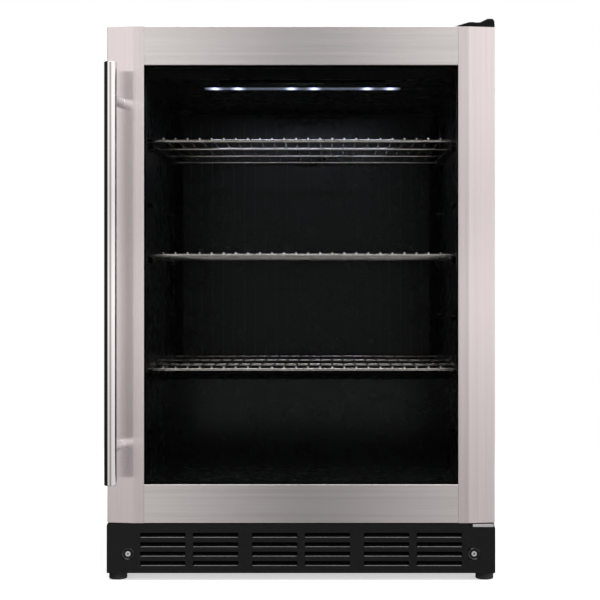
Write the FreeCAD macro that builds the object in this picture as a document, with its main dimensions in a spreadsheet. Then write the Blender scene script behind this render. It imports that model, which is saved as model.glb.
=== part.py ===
import FreeCAD, Part

import math
import os
import re

import PartDesign
import Sketcher

from FreeCAD import Placement, Rotation, Vector

# A glass-door beverage cooler of undercounter size.
#
# Frame: +Z up with z = 0 on the floor, X across with x = 0 on the middle of the door, -Y towards
# the user. The origin is under the middle of the whole object's depth. Depths are written as the
# distance behind the door's front plane, and front_y turns a depth into a Y.

SIZES = {
    # overall
    "cabinet_width": 595,
    "door_height": 760,
    "cabinet_depth": 520,
    "foot_height": 12,
    "kick_height": 76.6,
    "running_gap": 1.5,
    "hinge_gap": 1,
    "sheet_gauge": 1,
    "fit_gap": 0.2,
    "bearing_gap": 0.05,
    # door frame
    "door_thickness": 42,
    "door_gap": 10,
    "stile_width": 57,
    "stile_flat": 16,
    "stile_drop": 6.5,
    "rail_height": 59,
    "lip_depth": 2.5,
    "cap_thickness": 3,
    "back_plate": 4,
    "glass_lap": 12,
    "glass_thickness": 4,
    "glass_space": 12,
    "spacer_inset": 1,
    "spacer_band": 8,
    "glass_seat": 19,
    "frame_front": 12,
    "gasket_inset": 20,
    "gasket_width": 18,
    "gasket_base": 3.5,
    "gasket_shoulder": 3,
    "gasket_clearance": 0.3,
    # handle
    "handle_reach": 55,
    "handle_diameter": 19,
    "handle_wall": 1.5,
    "handle_end_margin": 62.75,
    "handle_rise": 1.45,
    "handle_inset": 13,
    "post_end_margin": 55.25,
    "post_diameter": 15,
    "post_shift": 7.7,
    "post_screw": 5,
    "post_screw_grip": 14,
    "post_screw_start": 2,
    "post_head": 9,
    "post_head_start": 5,
    "post_head_height": 3.8,
    "handle_plug": 3,
    # hinges
    "pivot_inset": 13,
    "pivot_depth": 23,
    "top_screw_shift": 8,
    "pin_diameter": 8,
    "pin_reach": 17,
    "bush_diameter": 14,
    "bush_length": 19,
    "bush_flange": 18,
    "bush_rim": 1,
    "bracket_gauge": 3,
    "bracket_width": 35,
    "bracket_inset": 2.5,
    "bracket_nose": 13,
    "bracket_length": 58,
    "bottom_plate": 4.5,
    "bottom_plate_width": 38.5,
    "plate_nose": 1,
    "plate_shoulder": 6,
    "plate_chamfer": 4,
    "plate_side_gap": 0.5,
    "leg_height": 47,
    "leg_width": 20,
    "leg_shift": 1,
    "leg_screw_drop": 14,
    "leg_screw_pitch": 22,
    "hinge_screw": 5,
    "hinge_screw_head": 9,
    "hinge_screw_rise": 2,
    "hinge_screw_length": 11,
    "hinge_screw_pitch": 16,
    "hinge_screw_start": 12,
    "hinge_cover_width": 62,
    "hinge_cover_height": 12.3,
    "hinge_cover_wall": 1.5,
    "hinge_cover_margin": 4,
    "hinge_cover_side_gap": 0.3,
    "cover_shoulder": 23,
    "cover_shoulder_share": 0.6,
    "cover_dip": 33,
    "cover_dip_share": 0.53,
    "cover_crest": 51,
    "cover_rim": 3,
    "hinge_cover_front": 6,
    # liner
    "side_foam": 47.5,
    "ceiling_foam": 73.6,
    "back_foam": 45,
    "liner_wall": 1.5,
    "liner_base": 40.4,
    "liner_corner": 20,
    "liner_flange": 18,
    "hump_depth": 182,
    "hump_height": 156,
    "hump_foam": 43.5,
    "bulkhead_step": 6,
    # shelves
    "shelf_drop": 94,
    "shelf_step_gap": 34,
    "shelf_side_gap": 4.5,
    "shelf_set_back": 23,
    "shelf_depth": 400,
    "shelf_rod": 5,
    "shelf_wire": 2.8,
    "shelf_wire_margin": 25.85,
    "shelf_weld": 0.5,
    "rail_front": 8,
    "rail_end": 15,
    "rail_reach": 12,
    "rail_gauge": 3,
    "rail_lip": 3.5,
    "rail_lip_height": 10,
    "peg_diameter": 9,
    "peg_length": 12,
    "peg_front": 25,
    # lamp
    "lamp_width": 318,
    "lamp_set_back": 60,
    "lamp_depth": 30,
    "lamp_height": 4.5,
    "lamp_wall": 1,
    "lamp_board": 1.2,
    "led_size": 5,
    "led_height": 0.8,
    "led_pair_pitch": 123,
    "led_spacing": 36,
    # control panel
    "control_width": 260,
    "control_set_back": 8,
    "control_depth": 44,
    "control_height": 4,
    "control_wall": 1,
    "button_diameter": 9,
    "button_rim": 12,
    "button_rim_height": 0.8,
    "button_stand": 1,
    "button_pitch": 20,
    "button_centre": 102,
    "button_gap": 0.3,
    # evaporator
    "evaporator_space": 42,
    "evaporator_cover_side": 20,
    "evaporator_cover_top": 12,
    "evaporator_cover_base": 14,
    "evaporator_cover_gauge": 2,
    "flute_pitch": 20,
    "flute_width": 8,
    "flute_height": 1.5,
    "flute_end": 6,
    "grille_bar": 5,
    "return_slot_width": 16,
    "return_slot_height": 6,
    "return_slot_pitch": 24,
    "return_slot_base": 10,
    "evaporator_width": 320,
    "evaporator_height": 200,
    "evaporator_gauge": 1.6,
    "evaporator_tube": 8,
    "evaporator_inset": 12,
    "evaporator_lift": 20,
    "evaporator_edge": 12,
    "evaporator_run_base": 20,
    "hook_width": 12,
    "hook_drop": 20,
    "evaporator_fan": 92,
    "evaporator_fan_drop": 70,
    "drain_diameter": 12,
    "drain_bore": 8,
    "drain_offset": 150,
    "drain_inset": 27,
    "drain_length": 52,
    # machine compartment
    "fan_thickness": 25,
    "fan_rim": 5,
    "fan_tip_gap": 3,
    "fan_hub": 36,
    "fan_blade_gauge": 1.6,
    "fan_blade_chord": 20,
    "fan_blade_pitch": 28,
    "fan_strut": 5,
    "fan_shaft": 4,
    "fan_motor_height": 9,
    "fan_hub_base": 10,
    "fan_hub_height": 14,
    "fan_shaft_base": 3,
    "condenser_fan": 140,
    "condenser_fan_side": 170,
    "condenser_thickness": 44,
    "condenser_size": 150,
    "condenser_tube": 8,
    "fin_gauge": 1,
    "fin_pitch": 6,
    "fin_reach": 3,
    "coil_bend_base": 22,
    "compressor_side": 140,
    "machine_inset": 94,
    "compressor_diameter": 124,
    "compressor_height": 128,
    "compressor_shoulder": 26,
    "compressor_base_edge": 10,
    "compressor_seam": 0.2,
    "compressor_plate": 3,
    "compressor_foot_span": 140,
    "compressor_foot_share": 0.6,
    "compressor_plate_edge": 14,
    "grommet_height": 12,
    "grommet_diameter": 24,
    "relay_width": 24,
    "relay_length": 52,
    "relay_height": 56,
    "relay_lift": 34,
    "relay_wrap": 8.4,
    "drier_diameter": 20,
    "drier_length": 90,
    "drier_neck": 6,
    "drier_cone": 14,
    "drier_side": 30,
    "drier_set_back": 20,
    "drier_level": 60,
    "pipe_diameter": 6.4,
    "pan_depth": 18,
    "pan_width": 150,
    "pan_length": 112,
    "pan_wall": 1.5,
    "pan_lift": 2,
    "pan_pad": 28,
    "gland_inset": 67.5,
    "gland_rise": 40,
    "gland_length": 14,
    "gland_lip": 2,
    "gland_diameter": 20,
    "gland_flange": 26,
    "gland_bore": 8,
    "vent_height": 6,
    "vent_pitch": 16,
    "vent_width": 200,
    "vent_base": 60,
    "vent_side": 120,
    # toe-kick and base
    "kick_wall": 3,
    "slot_width": 69.5,
    "slot_height": 7.5,
    "slot_pitch": 14.4,
    "slot_gap": 11.2,
    "slot_pair_gap": 21,
    "slot_base": 11,
    "vane_root": 0.5,
    "vane_reach": 9,
    "vane_root_height": 1.6,
    "vane_gauge": 1.2,
    "kick_corner_gap": 1,
    "kick_corner_drop": 0.3,
    "kick_screw_inset": 32.5,
    "kick_screw_rise": 29.5,
    "kick_dimple": 18,
    "kick_dimple_depth": 1.6,
    "kick_boss": 14,
    "kick_screw_head": 8,
    "kick_screw_head_height": 1.4,
    "kick_screw_thread": 4,
    "kick_screw_bore": 4.6,
    "kick_screw_grip": 8,
    "pan_gauge": 1.5,
    "pan_lip": 12,
    "foot_diameter": 28,
    "foot_corner": 2,
    "foot_thread": 8,
    "foot_stem": 33,
    "foot_nut": 18,
    "foot_nut_height": 8,
    "foot_chamfer": 1,
    "foot_side_inset": 14.5,
    "foot_front": 22,
    "foot_rear_inset": 24,
}

DERIVED = {
    "half_width": "cabinet_width / 2",
    "cabinet_front": "door_thickness + door_gap",
    "cabinet_back": "cabinet_front + cabinet_depth",
    "front_y": "(handle_reach - cabinet_back) / 2",
    "kick_top": "foot_height + kick_height - running_gap",
    "door_bottom": "foot_height + kick_height",
    "door_top": "door_bottom + door_height",
    "cabinet_top": "door_top + hinge_gap",
    "shell_top": "cabinet_top - sheet_gauge",
    "bend": "stile_width - stile_flat",
    "window_half": "half_width - stile_width",
    "window_top": "door_top - rail_height",
    "window_base": "door_bottom + rail_height",
    "pane_half": "window_half + glass_lap",
    "pane_top": "window_top + glass_lap",
    "pane_base": "window_base - glass_lap",
    "pane_front": "lip_depth + 0.1",
    "pane_back": "pane_front + 2 * glass_thickness + glass_space",
    "pivot_side": "half_width - pivot_inset",
    "handle_side": "half_width - handle_inset",
    "handle_axis": "handle_reach - handle_diameter / 2",
    "handle_length": "door_height - 2 * handle_end_margin",
    "handle_height": "door_bottom + door_height / 2 + handle_rise",
    "post_spacing": "handle_length - 2 * post_end_margin",
    "liner_half": "half_width - side_foam",
    "liner_floor": "door_bottom + liner_base",
    "liner_ceiling": "shell_top - ceiling_foam",
    "liner_front": "cabinet_front + pan_gauge",
    "liner_back": "cabinet_back - back_foam",
    "hump_front": "liner_back - hump_depth",
    "hump_top": "liner_floor + hump_height",
    "bulkhead_depth": "hump_front + liner_wall + hump_foam",
    "bulkhead_top": "hump_top - liner_wall - hump_foam + bulkhead_step",
    "shelf_level": "liner_ceiling - shelf_drop",
    "shelf_pitch": "(shelf_level - hump_top - shelf_step_gap) / 2",
    "shelf_half": "liner_half - shelf_side_gap",
    "shelf_front": "cabinet_front + shelf_set_back",
    "shelf_wire_pitch": "2 * (shelf_half - shelf_wire_margin) / 23",
    "lamp_front": "cabinet_front + lamp_set_back",
    "control_front": "cabinet_front + control_set_back",
    "evaporator_cover_half": "liner_half - evaporator_cover_side",
    "drain_depth": "liner_back - drain_inset",
    "machine_depth": "cabinet_back - machine_inset",
    "gland_side": "half_width - gland_inset",
    "gland_level": "foot_height + gland_rise",
    "kick_screw_side": "half_width - kick_screw_inset",
    "kick_screw_level": "foot_height + kick_screw_rise",
    "kick_screw_end": "cabinet_front + kick_screw_grip",
    "foot_side": "half_width - foot_side_inset",
    "hinge_cover_back": "cabinet_front + bracket_length + hinge_cover_margin",
    "plate_top": "door_bottom - running_gap",
    "plate_base": "plate_top - bottom_plate",
    "pan_top": "foot_height + pan_gauge",
    "cover_front": "liner_back - evaporator_space - evaporator_cover_gauge",
    "foot_rear": "cabinet_back - foot_rear_inset",
    "fan_level": "liner_ceiling - evaporator_cover_top - evaporator_fan_drop",
}

document = FreeCAD.newDocument("BeverageCooler")
sheet = document.addObject("Spreadsheet::Sheet", "Dim")
for row, (name, number) in enumerate(SIZES.items(), start=1):
    sheet.set(f"A{row}", name)
    sheet.set(f"B{row}", str(number))
    sheet.setAlias(f"B{row}", name)
document.recompute()

nodes = []

BACK = Rotation(Vector(1, 0, 0), -90)
FRONT = Rotation(Vector(1, 0, 0), 90)
RIGHT = Rotation(Vector(0, 1, 0), 90)
DOWN = Rotation(Vector(1, 0, 0), 180)


# ---------------------------------------------------------------- expressions and bindings


def spell(text):
    """Return the expression with every size named as the sheet's cell."""

    def cell(match):
        word = match.group()
        if word in DERIVED:
            return f"({spell(DERIVED[word])})"
        return f"Dim.{word}" if word in SIZES else word

    return re.sub(r"[a-z_]+", cell, str(text))


def value(text):
    """Return the number that an expression stands for now."""
    return float(sheet.evalExpression(spell(text)))


def bind(item, **sizes):
    for name, text in sizes.items():
        item.setExpression(name, spell(text))


def place(item, x, depth, z, turn=None):
    """Put an object at x, at a depth behind the door's front plane, and at a height."""
    if turn is not None:
        item.Placement = Placement(Vector(), turn)
    item.setExpression("Placement.Base.x", spell(x))
    item.setExpression("Placement.Base.y", spell(f"front_y + ({depth})"))
    item.setExpression("Placement.Base.z", spell(z))
    return item


def node(label, item):
    """Name a finished sub-part: the name is the name of its file."""
    item.Label = label
    nodes.append(item)
    return item


# ---------------------------------------------------------------- shapes


def box(x, depth, z):
    """A block between two x, two depths and two heights."""
    item = document.addObject("Part::Box", "Block")
    bind(item, Length=f"({x[1]}) - ({x[0]})", Width=f"({depth[1]}) - ({depth[0]})")
    bind(item, Height=f"({z[1]}) - ({z[0]})")
    return place(item, x[0], depth[0], z[0])


def wide_box(half, depth, z):
    """A block that is symmetrical about the middle of the cabinet."""
    return box((f"-({half})", half), depth, z)


def rod(x, depth, z, radius, length, turn=None):
    item = document.addObject("Part::Cylinder", "Rod")
    bind(item, Radius=radius, Height=length)
    return place(item, x, depth, z, turn)


def fuse(*parts):
    item = document.addObject("Part::MultiFuse", "Joined")
    item.Shapes = list(parts)
    return item


def group(*parts):
    item = document.addObject("Part::Compound", "Group")
    item.Links = list(parts)
    return item


def cut(base, *tools):
    item = document.addObject("Part::Cut", "Trimmed")
    item.Base = base
    item.Tool = tools[0] if len(tools) == 1 else fuse(*tools)
    return item


def sketch(body, role, points, offset):
    """A closed outline on one of the body's planes, each corner held by two sizes."""
    plane = [item for item in body.Origin.OriginFeatures if item.Role == role][0]
    drawing = body.newObject("Sketcher::SketchObject", "Outline")
    drawing.AttachmentSupport = [(plane, "")]
    drawing.MapMode = "FlatFace"
    drawing.setExpression("AttachmentOffset.Base.z", spell(offset))
    corners = [Vector(value(across), value(up), 0) for across, up in points]
    count = len(corners)
    for index in range(count):
        drawing.addGeometry(Part.LineSegment(corners[index], corners[(index + 1) % count]), False)
    for index in range(count):
        drawing.addConstraint(Sketcher.Constraint("Coincident", index, 2, (index + 1) % count, 1))
    for index, (across, up) in enumerate(points):
        corner = corners[index]
        for kind, size, text in (("DistanceX", corner.x, across), ("DistanceY", corner.y, up)):
            held = drawing.addConstraint(Sketcher.Constraint(kind, -1, 1, index, 1, size))
            drawing.setExpression(f"Constraints[{held}]", spell(text))
    return drawing


def prism(role, points, start, length):
    """A body padded from an outline, away from its plane's own side."""
    body = document.addObject("PartDesign::Body", "Prism")
    drawing = sketch(body, role, points, start)
    pad = body.newObject("PartDesign::Pad", "Pad")
    pad.Profile = drawing
    pad.setExpression("Length", spell(length))
    return body


def plan_prism(points, z):
    """An outline of (x, depth) corners, padded upwards between two heights."""
    outline = [(x, f"front_y + ({depth})") for x, depth in points]
    return prism("XY_Plane", outline, z[0], f"({z[1]}) - ({z[0]})")


def side_prism(points, x):
    """An outline of (depth, height) corners, padded from one x to another."""
    outline = [(f"front_y + ({depth})", z) for depth, z in points]
    return prism("YZ_Plane", outline, x[0], f"({x[1]}) - ({x[0]})")


def face_prism(points, depth):
    """An outline of (x, height) corners, padded from one depth back to another."""
    return prism("XZ_Plane", points, f"-(front_y + ({depth[1]}))", f"({depth[1]}) - ({depth[0]})")


def turned(points, x, depth, z):
    """A solid of revolution about its own upright axis, from (radius, height) corners."""
    body = document.addObject("PartDesign::Body", "Turned")
    drawing = sketch(body, "XZ_Plane", points, "0")
    spin = body.newObject("PartDesign::Revolution", "Revolution")
    spin.Profile = drawing
    spin.ReferenceAxis = (drawing, ["V_Axis"])
    spin.Angle = 360
    return place(body, x, depth, z)


def mitred_ring(outer, inner, depth):
    """Four mitred strips between an outer and an inner rectangle, each (half width, base, top)."""
    (outer_half, outer_base, outer_top), (inner_half, inner_base, inner_top) = outer, inner
    across = (f"-({outer_half})", outer_half, f"-({inner_half})", inner_half)
    upwards = (outer_base, outer_top, inner_base, inner_top)
    downwards = (f"-({outer_top})", f"-({outer_base})", f"-({inner_top})", f"-({inner_base})")
    sides = (
        (0, f"-({outer_top})", f"-({inner_top})", across),
        (90, f"-({outer_half})", f"-({inner_half})", downwards),
        (180, outer_base, inner_base, across),
        (-90, f"-({outer_half})", f"-({inner_half})", upwards),
    )
    strips = []
    for angle, outside, inside, ends in sides:
        strip = document.addObject("Part::Wedge", "Strip")
        strip.Placement = Placement(Vector(), Rotation(Vector(0, 1, 0), angle) * BACK)
        bind(strip, Ymin=outside, Ymax=inside, Xmin=ends[0], Xmax=ends[1], X2min=ends[2], X2max=ends[3])
        bind(strip, Zmin=depth[0], Z2min=depth[0], Zmax=depth[1], Z2max=depth[1])
        strip.setExpression("Placement.Base.y", spell("front_y"))
        strips.append(strip)
    return strips


def rectangle(half, base, top, inset="0"):
    """The three numbers of a rectangle that is drawn in by an inset on every side."""
    return (f"{half} - ({inset})", f"{base} + ({inset})", f"{top} - ({inset})")


def pipe(points, radius):
    """A tube of straight runs and tangent arcs through (x, depth, z) corners."""
    corners = [Vector(value(x), value(f"front_y + ({depth})"), value(z)) for x, depth, z in points]
    edges = []
    start = corners[0]
    for before, corner, after in zip(corners, corners[1:], corners[2:]):
        reach = 0.45 * min((corner - before).Length, (after - corner).Length)
        first = corner + (before - corner).normalize() * reach
        last = corner + (after - corner).normalize() * reach
        turn = (corner - before).getAngle(after - corner)
        bisector = (first + last) * 0.5 - corner
        size = reach * math.tan((math.pi - turn) / 2)
        centre = corner + bisector.normalize() * math.hypot(reach, size)
        middle = centre + (corner - centre).normalize() * size
        edges.append(Part.LineSegment(start, first).toShape())
        edges.append(Part.Arc(first, middle, last).toShape())
        start = last
    edges.append(Part.LineSegment(start, corners[-1]).toShape())
    path = Part.Wire(edges)
    ring = Part.Wire(Part.makeCircle(value(radius), corners[0], corners[1] - corners[0]))
    item = document.addObject("Part::Feature", "Pipe")
    item.Shape = path.makePipeShell([ring], True, False)
    return item


# ---------------------------------------------------------------- cabinet shell


def cabinet_shell():
    inside = "half_width - sheet_gauge"
    walls = [box(x, ("cabinet_front", "cabinet_back"), ("foot_height", "cabinet_top"))
             for x in (("-half_width", f"-({inside})"), (inside, "half_width"))]
    node("side_panels", group(*walls))
    node("top_panel", cut(wide_box(inside, ("cabinet_front", "cabinet_back"), ("shell_top", "cabinet_top")),
                          *top_screw_bores("hinge_screw / 2 + fit_gap")))
    node("back_panel", wide_box(inside, ("cabinet_back - sheet_gauge", "cabinet_back"),
                                ("bulkhead_top + sheet_gauge", "shell_top")))
    ring = mitred_ring(rectangle(inside, "door_bottom", "shell_top"),
                       rectangle("liner_half", "liner_floor", "liner_ceiling"),
                       ("cabinet_front", "liner_front"))
    node("front_frame", group(*ring))


def base_pan():
    """The flat pan with its weld nuts, two front posts, the bar across them and the rear lip."""
    inside = "half_width - sheet_gauge"
    opening = "kick_screw_side - kick_boss"
    back = "cabinet_back - sheet_gauge"
    floor = fuse(wide_box(inside, ("cabinet_front", back), ("foot_height", "pan_top")),
                 wide_box("half_width - kick_wall - fit_gap", ("kick_wall + fit_gap", "cabinet_front"),
                          ("foot_height", "pan_top")))
    bores = [rod(x, depth, "0", "foot_thread / 2 + bearing_gap", "foot_height * 3")
             for x, depth in foot_places()]
    nuts = [cut(rod(x, depth, "pan_top", "foot_nut / 2", "foot_nut_height"), bore)
            for (x, depth), bore in zip(foot_places(), bores)]
    head = "door_bottom - kick_dimple / 2"
    rim = "door_bottom - sheet_gauge"
    front = ("cabinet_front", "liner_front")
    screws = kick_screw_rods("kick_screw_thread / 2", "cabinet_front - 1", "liner_front + 1")
    posts = [cut(box((f"-({inside})", f"-({opening})"), front, ("pan_top", rim)), screws[0]),
             cut(box((opening, inside), front, ("pan_top", rim)), screws[1],
                 *leg_screw_rods("hinge_screw / 2"))]
    bar = wide_box(opening, front, (head, rim))
    lip = wide_box(inside, (f"{back} - pan_gauge", back), ("pan_top", "foot_height + pan_lip"))
    node("base_pan", group(cut(floor, *bores), *nuts, *posts, bar, lip))


def foot_places():
    """(x, depth) of the four feet."""
    return [(f"{side} * foot_side", depth) for depth in ("foot_front", "foot_rear") for side in ("-1", "1")]


def grommet_offsets():
    """(x, depth) of the compressor's four rubber feet from the compressor's axis."""
    reach = "compressor_foot_span / 2"
    return [(f"{side} * {reach}", f"{way} * {reach} * compressor_foot_share")
            for side in ("-1", "1") for way in ("-1", "1")]


def machine_bulkhead():
    lower = "door_bottom - sheet_gauge"
    points = [
        ("liner_front", lower), ("bulkhead_depth + sheet_gauge", lower),
        ("bulkhead_depth + sheet_gauge", "bulkhead_top"), ("cabinet_back - sheet_gauge", "bulkhead_top"),
        ("cabinet_back - sheet_gauge", "bulkhead_top + sheet_gauge"),
        ("bulkhead_depth", "bulkhead_top + sheet_gauge"), ("bulkhead_depth", "door_bottom"),
        ("liner_front", "door_bottom"),
    ]
    inside = "half_width - sheet_gauge"
    sheet_metal = side_prism(points, (f"-({inside})", inside))
    node("machine_bulkhead", cut(sheet_metal, drain_bore()))


def drain_bore():
    return rod("-drain_offset", "drain_depth", "hump_top - drain_length", "drain_diameter / 2",
               "drain_length + drain_diameter")


def liner_block(grow, front):
    """The inside of the cabinet as one block with its rear step, larger by grow all round."""
    main = document.addObject("PartDesign::Body", "Cavity")
    block = main.newObject("PartDesign::AdditiveBox", "Block")
    bind(block, Length=f"2 * (liner_half + ({grow}))", Width=f"liner_back + ({grow}) - ({front})")
    bind(block, Height=f"liner_ceiling - liner_floor + 2 * ({grow})")
    document.recompute()
    rounding = main.newObject("PartDesign::Fillet", "Corners")
    rounding.Base = (block, ["Edge3", "Edge7"])
    rounding.setExpression("Radius", spell(f"liner_corner + ({grow})"))
    place(main, f"-liner_half - ({grow})", front, f"liner_floor - ({grow})")
    step = wide_box("cabinet_width", (f"hump_front + ({grow})", "cabinet_back"),
                    ("0", f"hump_top - ({grow})"))
    return cut(main, step)


def inner_liner():
    skin = liner_block("liner_wall", "liner_front")
    flange = wide_box("liner_half + liner_flange", ("liner_front", "liner_front + liner_wall"),
                      ("liner_floor - liner_flange", "liner_ceiling + liner_flange"))
    node("inner_liner", cut(fuse(skin, flange), liner_block("0", "cabinet_front - 1"), drain_bore()))


def insulation():
    block = wide_box("half_width - sheet_gauge", ("liner_front + liner_wall", "cabinet_back - sheet_gauge"),
                     ("door_bottom", "shell_top"))
    machine = wide_box("half_width", ("bulkhead_depth", "cabinet_back"), ("0", "bulkhead_top + sheet_gauge"))
    hollow = liner_block("liner_wall", "cabinet_front")
    node("insulation_foam", cut(block, machine, hollow, drain_bore(),
                                *top_screw_bores("hinge_screw_head / 2 + fit_gap")))


# ---------------------------------------------------------------- toe-kick and feet


def kick_screw_rods(radius, start, end):
    return [rod(f"{side} * kick_screw_side", start, "kick_screw_level", radius, f"({end}) - ({start})", BACK)
            for side in ("-1", "1")]


def toe_kick():
    outer = wide_box("half_width", ("0", "cabinet_front"), ("foot_height", "kick_top"))
    hollow = wide_box("half_width - kick_wall", ("kick_wall", "cabinet_front + 1"),
                      ("0", "kick_top - kick_wall"))
    bosses = kick_screw_rods("kick_boss / 2", "kick_wall / 2", "cabinet_front")
    slots = []
    vanes = []
    step = "slot_width + slot_gap"
    pair = "2 * slot_width + slot_gap + slot_pair_gap"
    for line in range(4):
        base = f"foot_height + slot_base + {line} * slot_pitch"
        for column in range(-1, 2):
            left = f"{column} * ({pair}) - slot_width - slot_gap / 2"
            for start in (left, f"{left} + {step}"):
                slots.append(box((start, f"{start} + slot_width"), ("-1", "kick_wall + 1"),
                                 (base, f"{base} + slot_height")))
        rise = f"{base} + slot_height + 1"
        root = "kick_wall - vane_root"
        tip = "kick_wall + vane_reach"
        vanes.append(side_prism([(root, f"{base} - vane_root_height"), (root, base),
                                 (tip, rise), (tip, f"{rise} - vane_gauge")],
                                (f"-1.5 * ({pair})", f"1.5 * ({pair})")))
    dimples = kick_screw_rods("kick_dimple / 2", "-1", "kick_dimple_depth")
    bores = kick_screw_rods("kick_screw_bore / 2", "-1", "cabinet_front + 1")
    corner = box(("half_width - bottom_plate_width - kick_corner_gap", "half_width + 1"),
                 ("-1", "cabinet_front + 1"), ("plate_base - kick_corner_drop", "door_bottom"))
    shell = cut(fuse(cut(outer, hollow), *bosses), *slots)
    node("toe_kick", cut(fuse(shell, *vanes), corner, *dimples, *bores))
    shanks = kick_screw_rods("kick_screw_thread / 2", "kick_dimple_depth", "kick_screw_end")
    heads = kick_screw_rods("kick_screw_head / 2", "kick_dimple_depth - kick_screw_head_height",
                           "kick_dimple_depth")
    node("toe_kick_screws", group(*[fuse(shank, head) for shank, head in zip(shanks, heads)]))


def levelling_feet():
    names = ("front_left", "front_right", "rear_left", "rear_right")
    outline = [
        ("0", "0"), ("foot_diameter / 2 - foot_corner", "0"),
        ("foot_diameter / 2 - foot_corner / 3", "foot_corner / 3"),
        ("foot_diameter / 2", "foot_corner"), ("foot_diameter / 2", "foot_height - foot_chamfer"),
        ("foot_diameter / 2 - foot_chamfer", "foot_height"), ("foot_thread / 2", "foot_height"),
        ("foot_thread / 2", "foot_height + foot_stem - foot_chamfer"),
        ("foot_thread / 2 - foot_chamfer", "foot_height + foot_stem"), ("0", "foot_height + foot_stem"),
    ]
    for name, (x, depth) in zip(names, foot_places()):
        node(f"levelling_foot_{name}", turned(outline, x, depth, "0"))


# ---------------------------------------------------------------- hinges


def top_screw_bores(radius):
    """Three upright holes behind the door for the top bracket's screws."""
    return [rod("pivot_side - top_screw_shift", depth, "cabinet_top - hinge_screw_length - 1", radius,
                "hinge_screw_length + 2 * bracket_gauge") for depth in top_screw_depths()]


def top_screw_depths():
    return [f"cabinet_front + hinge_screw_start + {step} * hinge_screw_pitch" for step in range(3)]


def leg_screw_levels():
    return [f"plate_base - leg_screw_drop - {step} * leg_screw_pitch" for step in range(2)]


def leg_screw_rods(radius):
    """Two level holes through the bottom bracket's leg."""
    return [rod("pivot_side - leg_shift", "cabinet_front - 2 * bracket_gauge", level, radius,
                "4 * bracket_gauge", BACK) for level in leg_screw_levels()]


def hinges():
    plate_right = "half_width - bracket_inset"
    bore = ("pin_diameter / 2", "bracket_gauge + 2")
    node("top_hinge_bracket", cut(
        box((f"{plate_right} - bracket_width", plate_right),
            ("pivot_depth - bracket_nose", "cabinet_front + bracket_length"),
            ("cabinet_top", "cabinet_top + bracket_gauge")),
        rod("pivot_side", "pivot_depth", "cabinet_top - 1", *bore), *top_screw_bores("hinge_screw / 2")))
    left = "half_width - bottom_plate_width"
    right = "half_width - plate_side_gap"
    plate = plan_prism([(left, "cabinet_front"), (left, "plate_shoulder"),
                        (f"{left} + plate_chamfer", "plate_nose"),
                        ("half_width - plate_chamfer", "plate_nose"), (right, "plate_shoulder"),
                        (right, "cabinet_front")], ("plate_base", "plate_top"))
    leg_left = "pivot_side - leg_width / 2 - leg_shift"
    leg = box((leg_left, f"{leg_left} + leg_width"), ("cabinet_front - bracket_gauge", "cabinet_front"),
              ("plate_base - leg_height", "plate_base"))
    node("bottom_hinge_bracket", cut(fuse(plate, leg),
                                     rod("pivot_side", "pivot_depth", "0", "pin_diameter / 2", "cabinet_top"),
                                     *leg_screw_rods("hinge_screw / 2")))
    node("hinge_pins", group(
        rod("pivot_side", "pivot_depth", "door_top - pin_reach", "pin_diameter / 2",
            "cabinet_top + bracket_gauge - door_top + pin_reach"),
        rod("pivot_side", "pivot_depth", "plate_base", "pin_diameter / 2",
            "bottom_plate + running_gap + pin_reach")))
    screws = []
    shank_size = ("hinge_screw / 2", "hinge_screw_length")
    head_size = ("hinge_screw_head / 2", "hinge_screw_rise")
    for depth in top_screw_depths():
        x = "pivot_side - top_screw_shift"
        seat = "cabinet_top + bracket_gauge"
        screws.append(fuse(rod(x, depth, f"{seat} - hinge_screw_length", *shank_size),
                           rod(x, depth, seat, *head_size)))
    for level in leg_screw_levels():
        x = "pivot_side - leg_shift"
        seat = "cabinet_front - bracket_gauge"
        screws.append(fuse(rod(x, seat, level, *shank_size, BACK),
                           rod(x, f"{seat} - hinge_screw_rise", level, *head_size, BACK)))
    node("hinge_screws", group(*screws))


def top_hinge_cover():
    right = "half_width - hinge_cover_side_gap"
    left = f"{right} - hinge_cover_width"
    shoulder = "hinge_cover_height * cover_shoulder_share"

    def outline(inset):
        top = f"cabinet_top - ({inset})"
        return [
            (f"{left} + ({inset})", "cabinet_top"),
            (f"{left} + cover_shoulder + ({inset})", f"{top} + {shoulder}"),
            (f"{left} + cover_dip + ({inset})", f"{top} + hinge_cover_height * cover_dip_share"),
            (f"{left} + cover_crest", f"{top} + hinge_cover_height"),
            (f"{right} - cover_rim - ({inset}) / 2", f"{top} + hinge_cover_height"),
            (f"{right} - ({inset})", f"{top} + {shoulder}"), (f"{right} - ({inset})", "cabinet_top"),
        ]

    shell = face_prism(outline("0"), ("hinge_cover_front", "hinge_cover_back"))
    hollow = face_prism(outline("hinge_cover_wall"),
                        ("hinge_cover_front + hinge_cover_wall", "hinge_cover_back - hinge_cover_wall"))
    node("top_hinge_cover", cut(shell, hollow))


# ---------------------------------------------------------------- door


def stile(side):
    """One folded channel: a flat band at the glass and an outer face that falls away."""

    def x(inset):
        return f"{side} * (half_width - ({inset}))"

    gauge = "sheet_gauge"
    points = [
        (x("0"), "stile_drop"), (x("bend"), "0"), (x("stile_width"), "0"), (x("stile_width"), "lip_depth"),
        (x(f"stile_width - {gauge}"), "lip_depth"), (x(f"stile_width - {gauge}"), gauge), (x("bend"), gauge),
        (x(gauge), f"stile_drop * (1 - {gauge} / bend) + {gauge}"), (x(gauge), "door_thickness"),
        (x("0"), "door_thickness"),
    ]
    return plan_prism(points, ("door_bottom", "door_top"))


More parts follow.
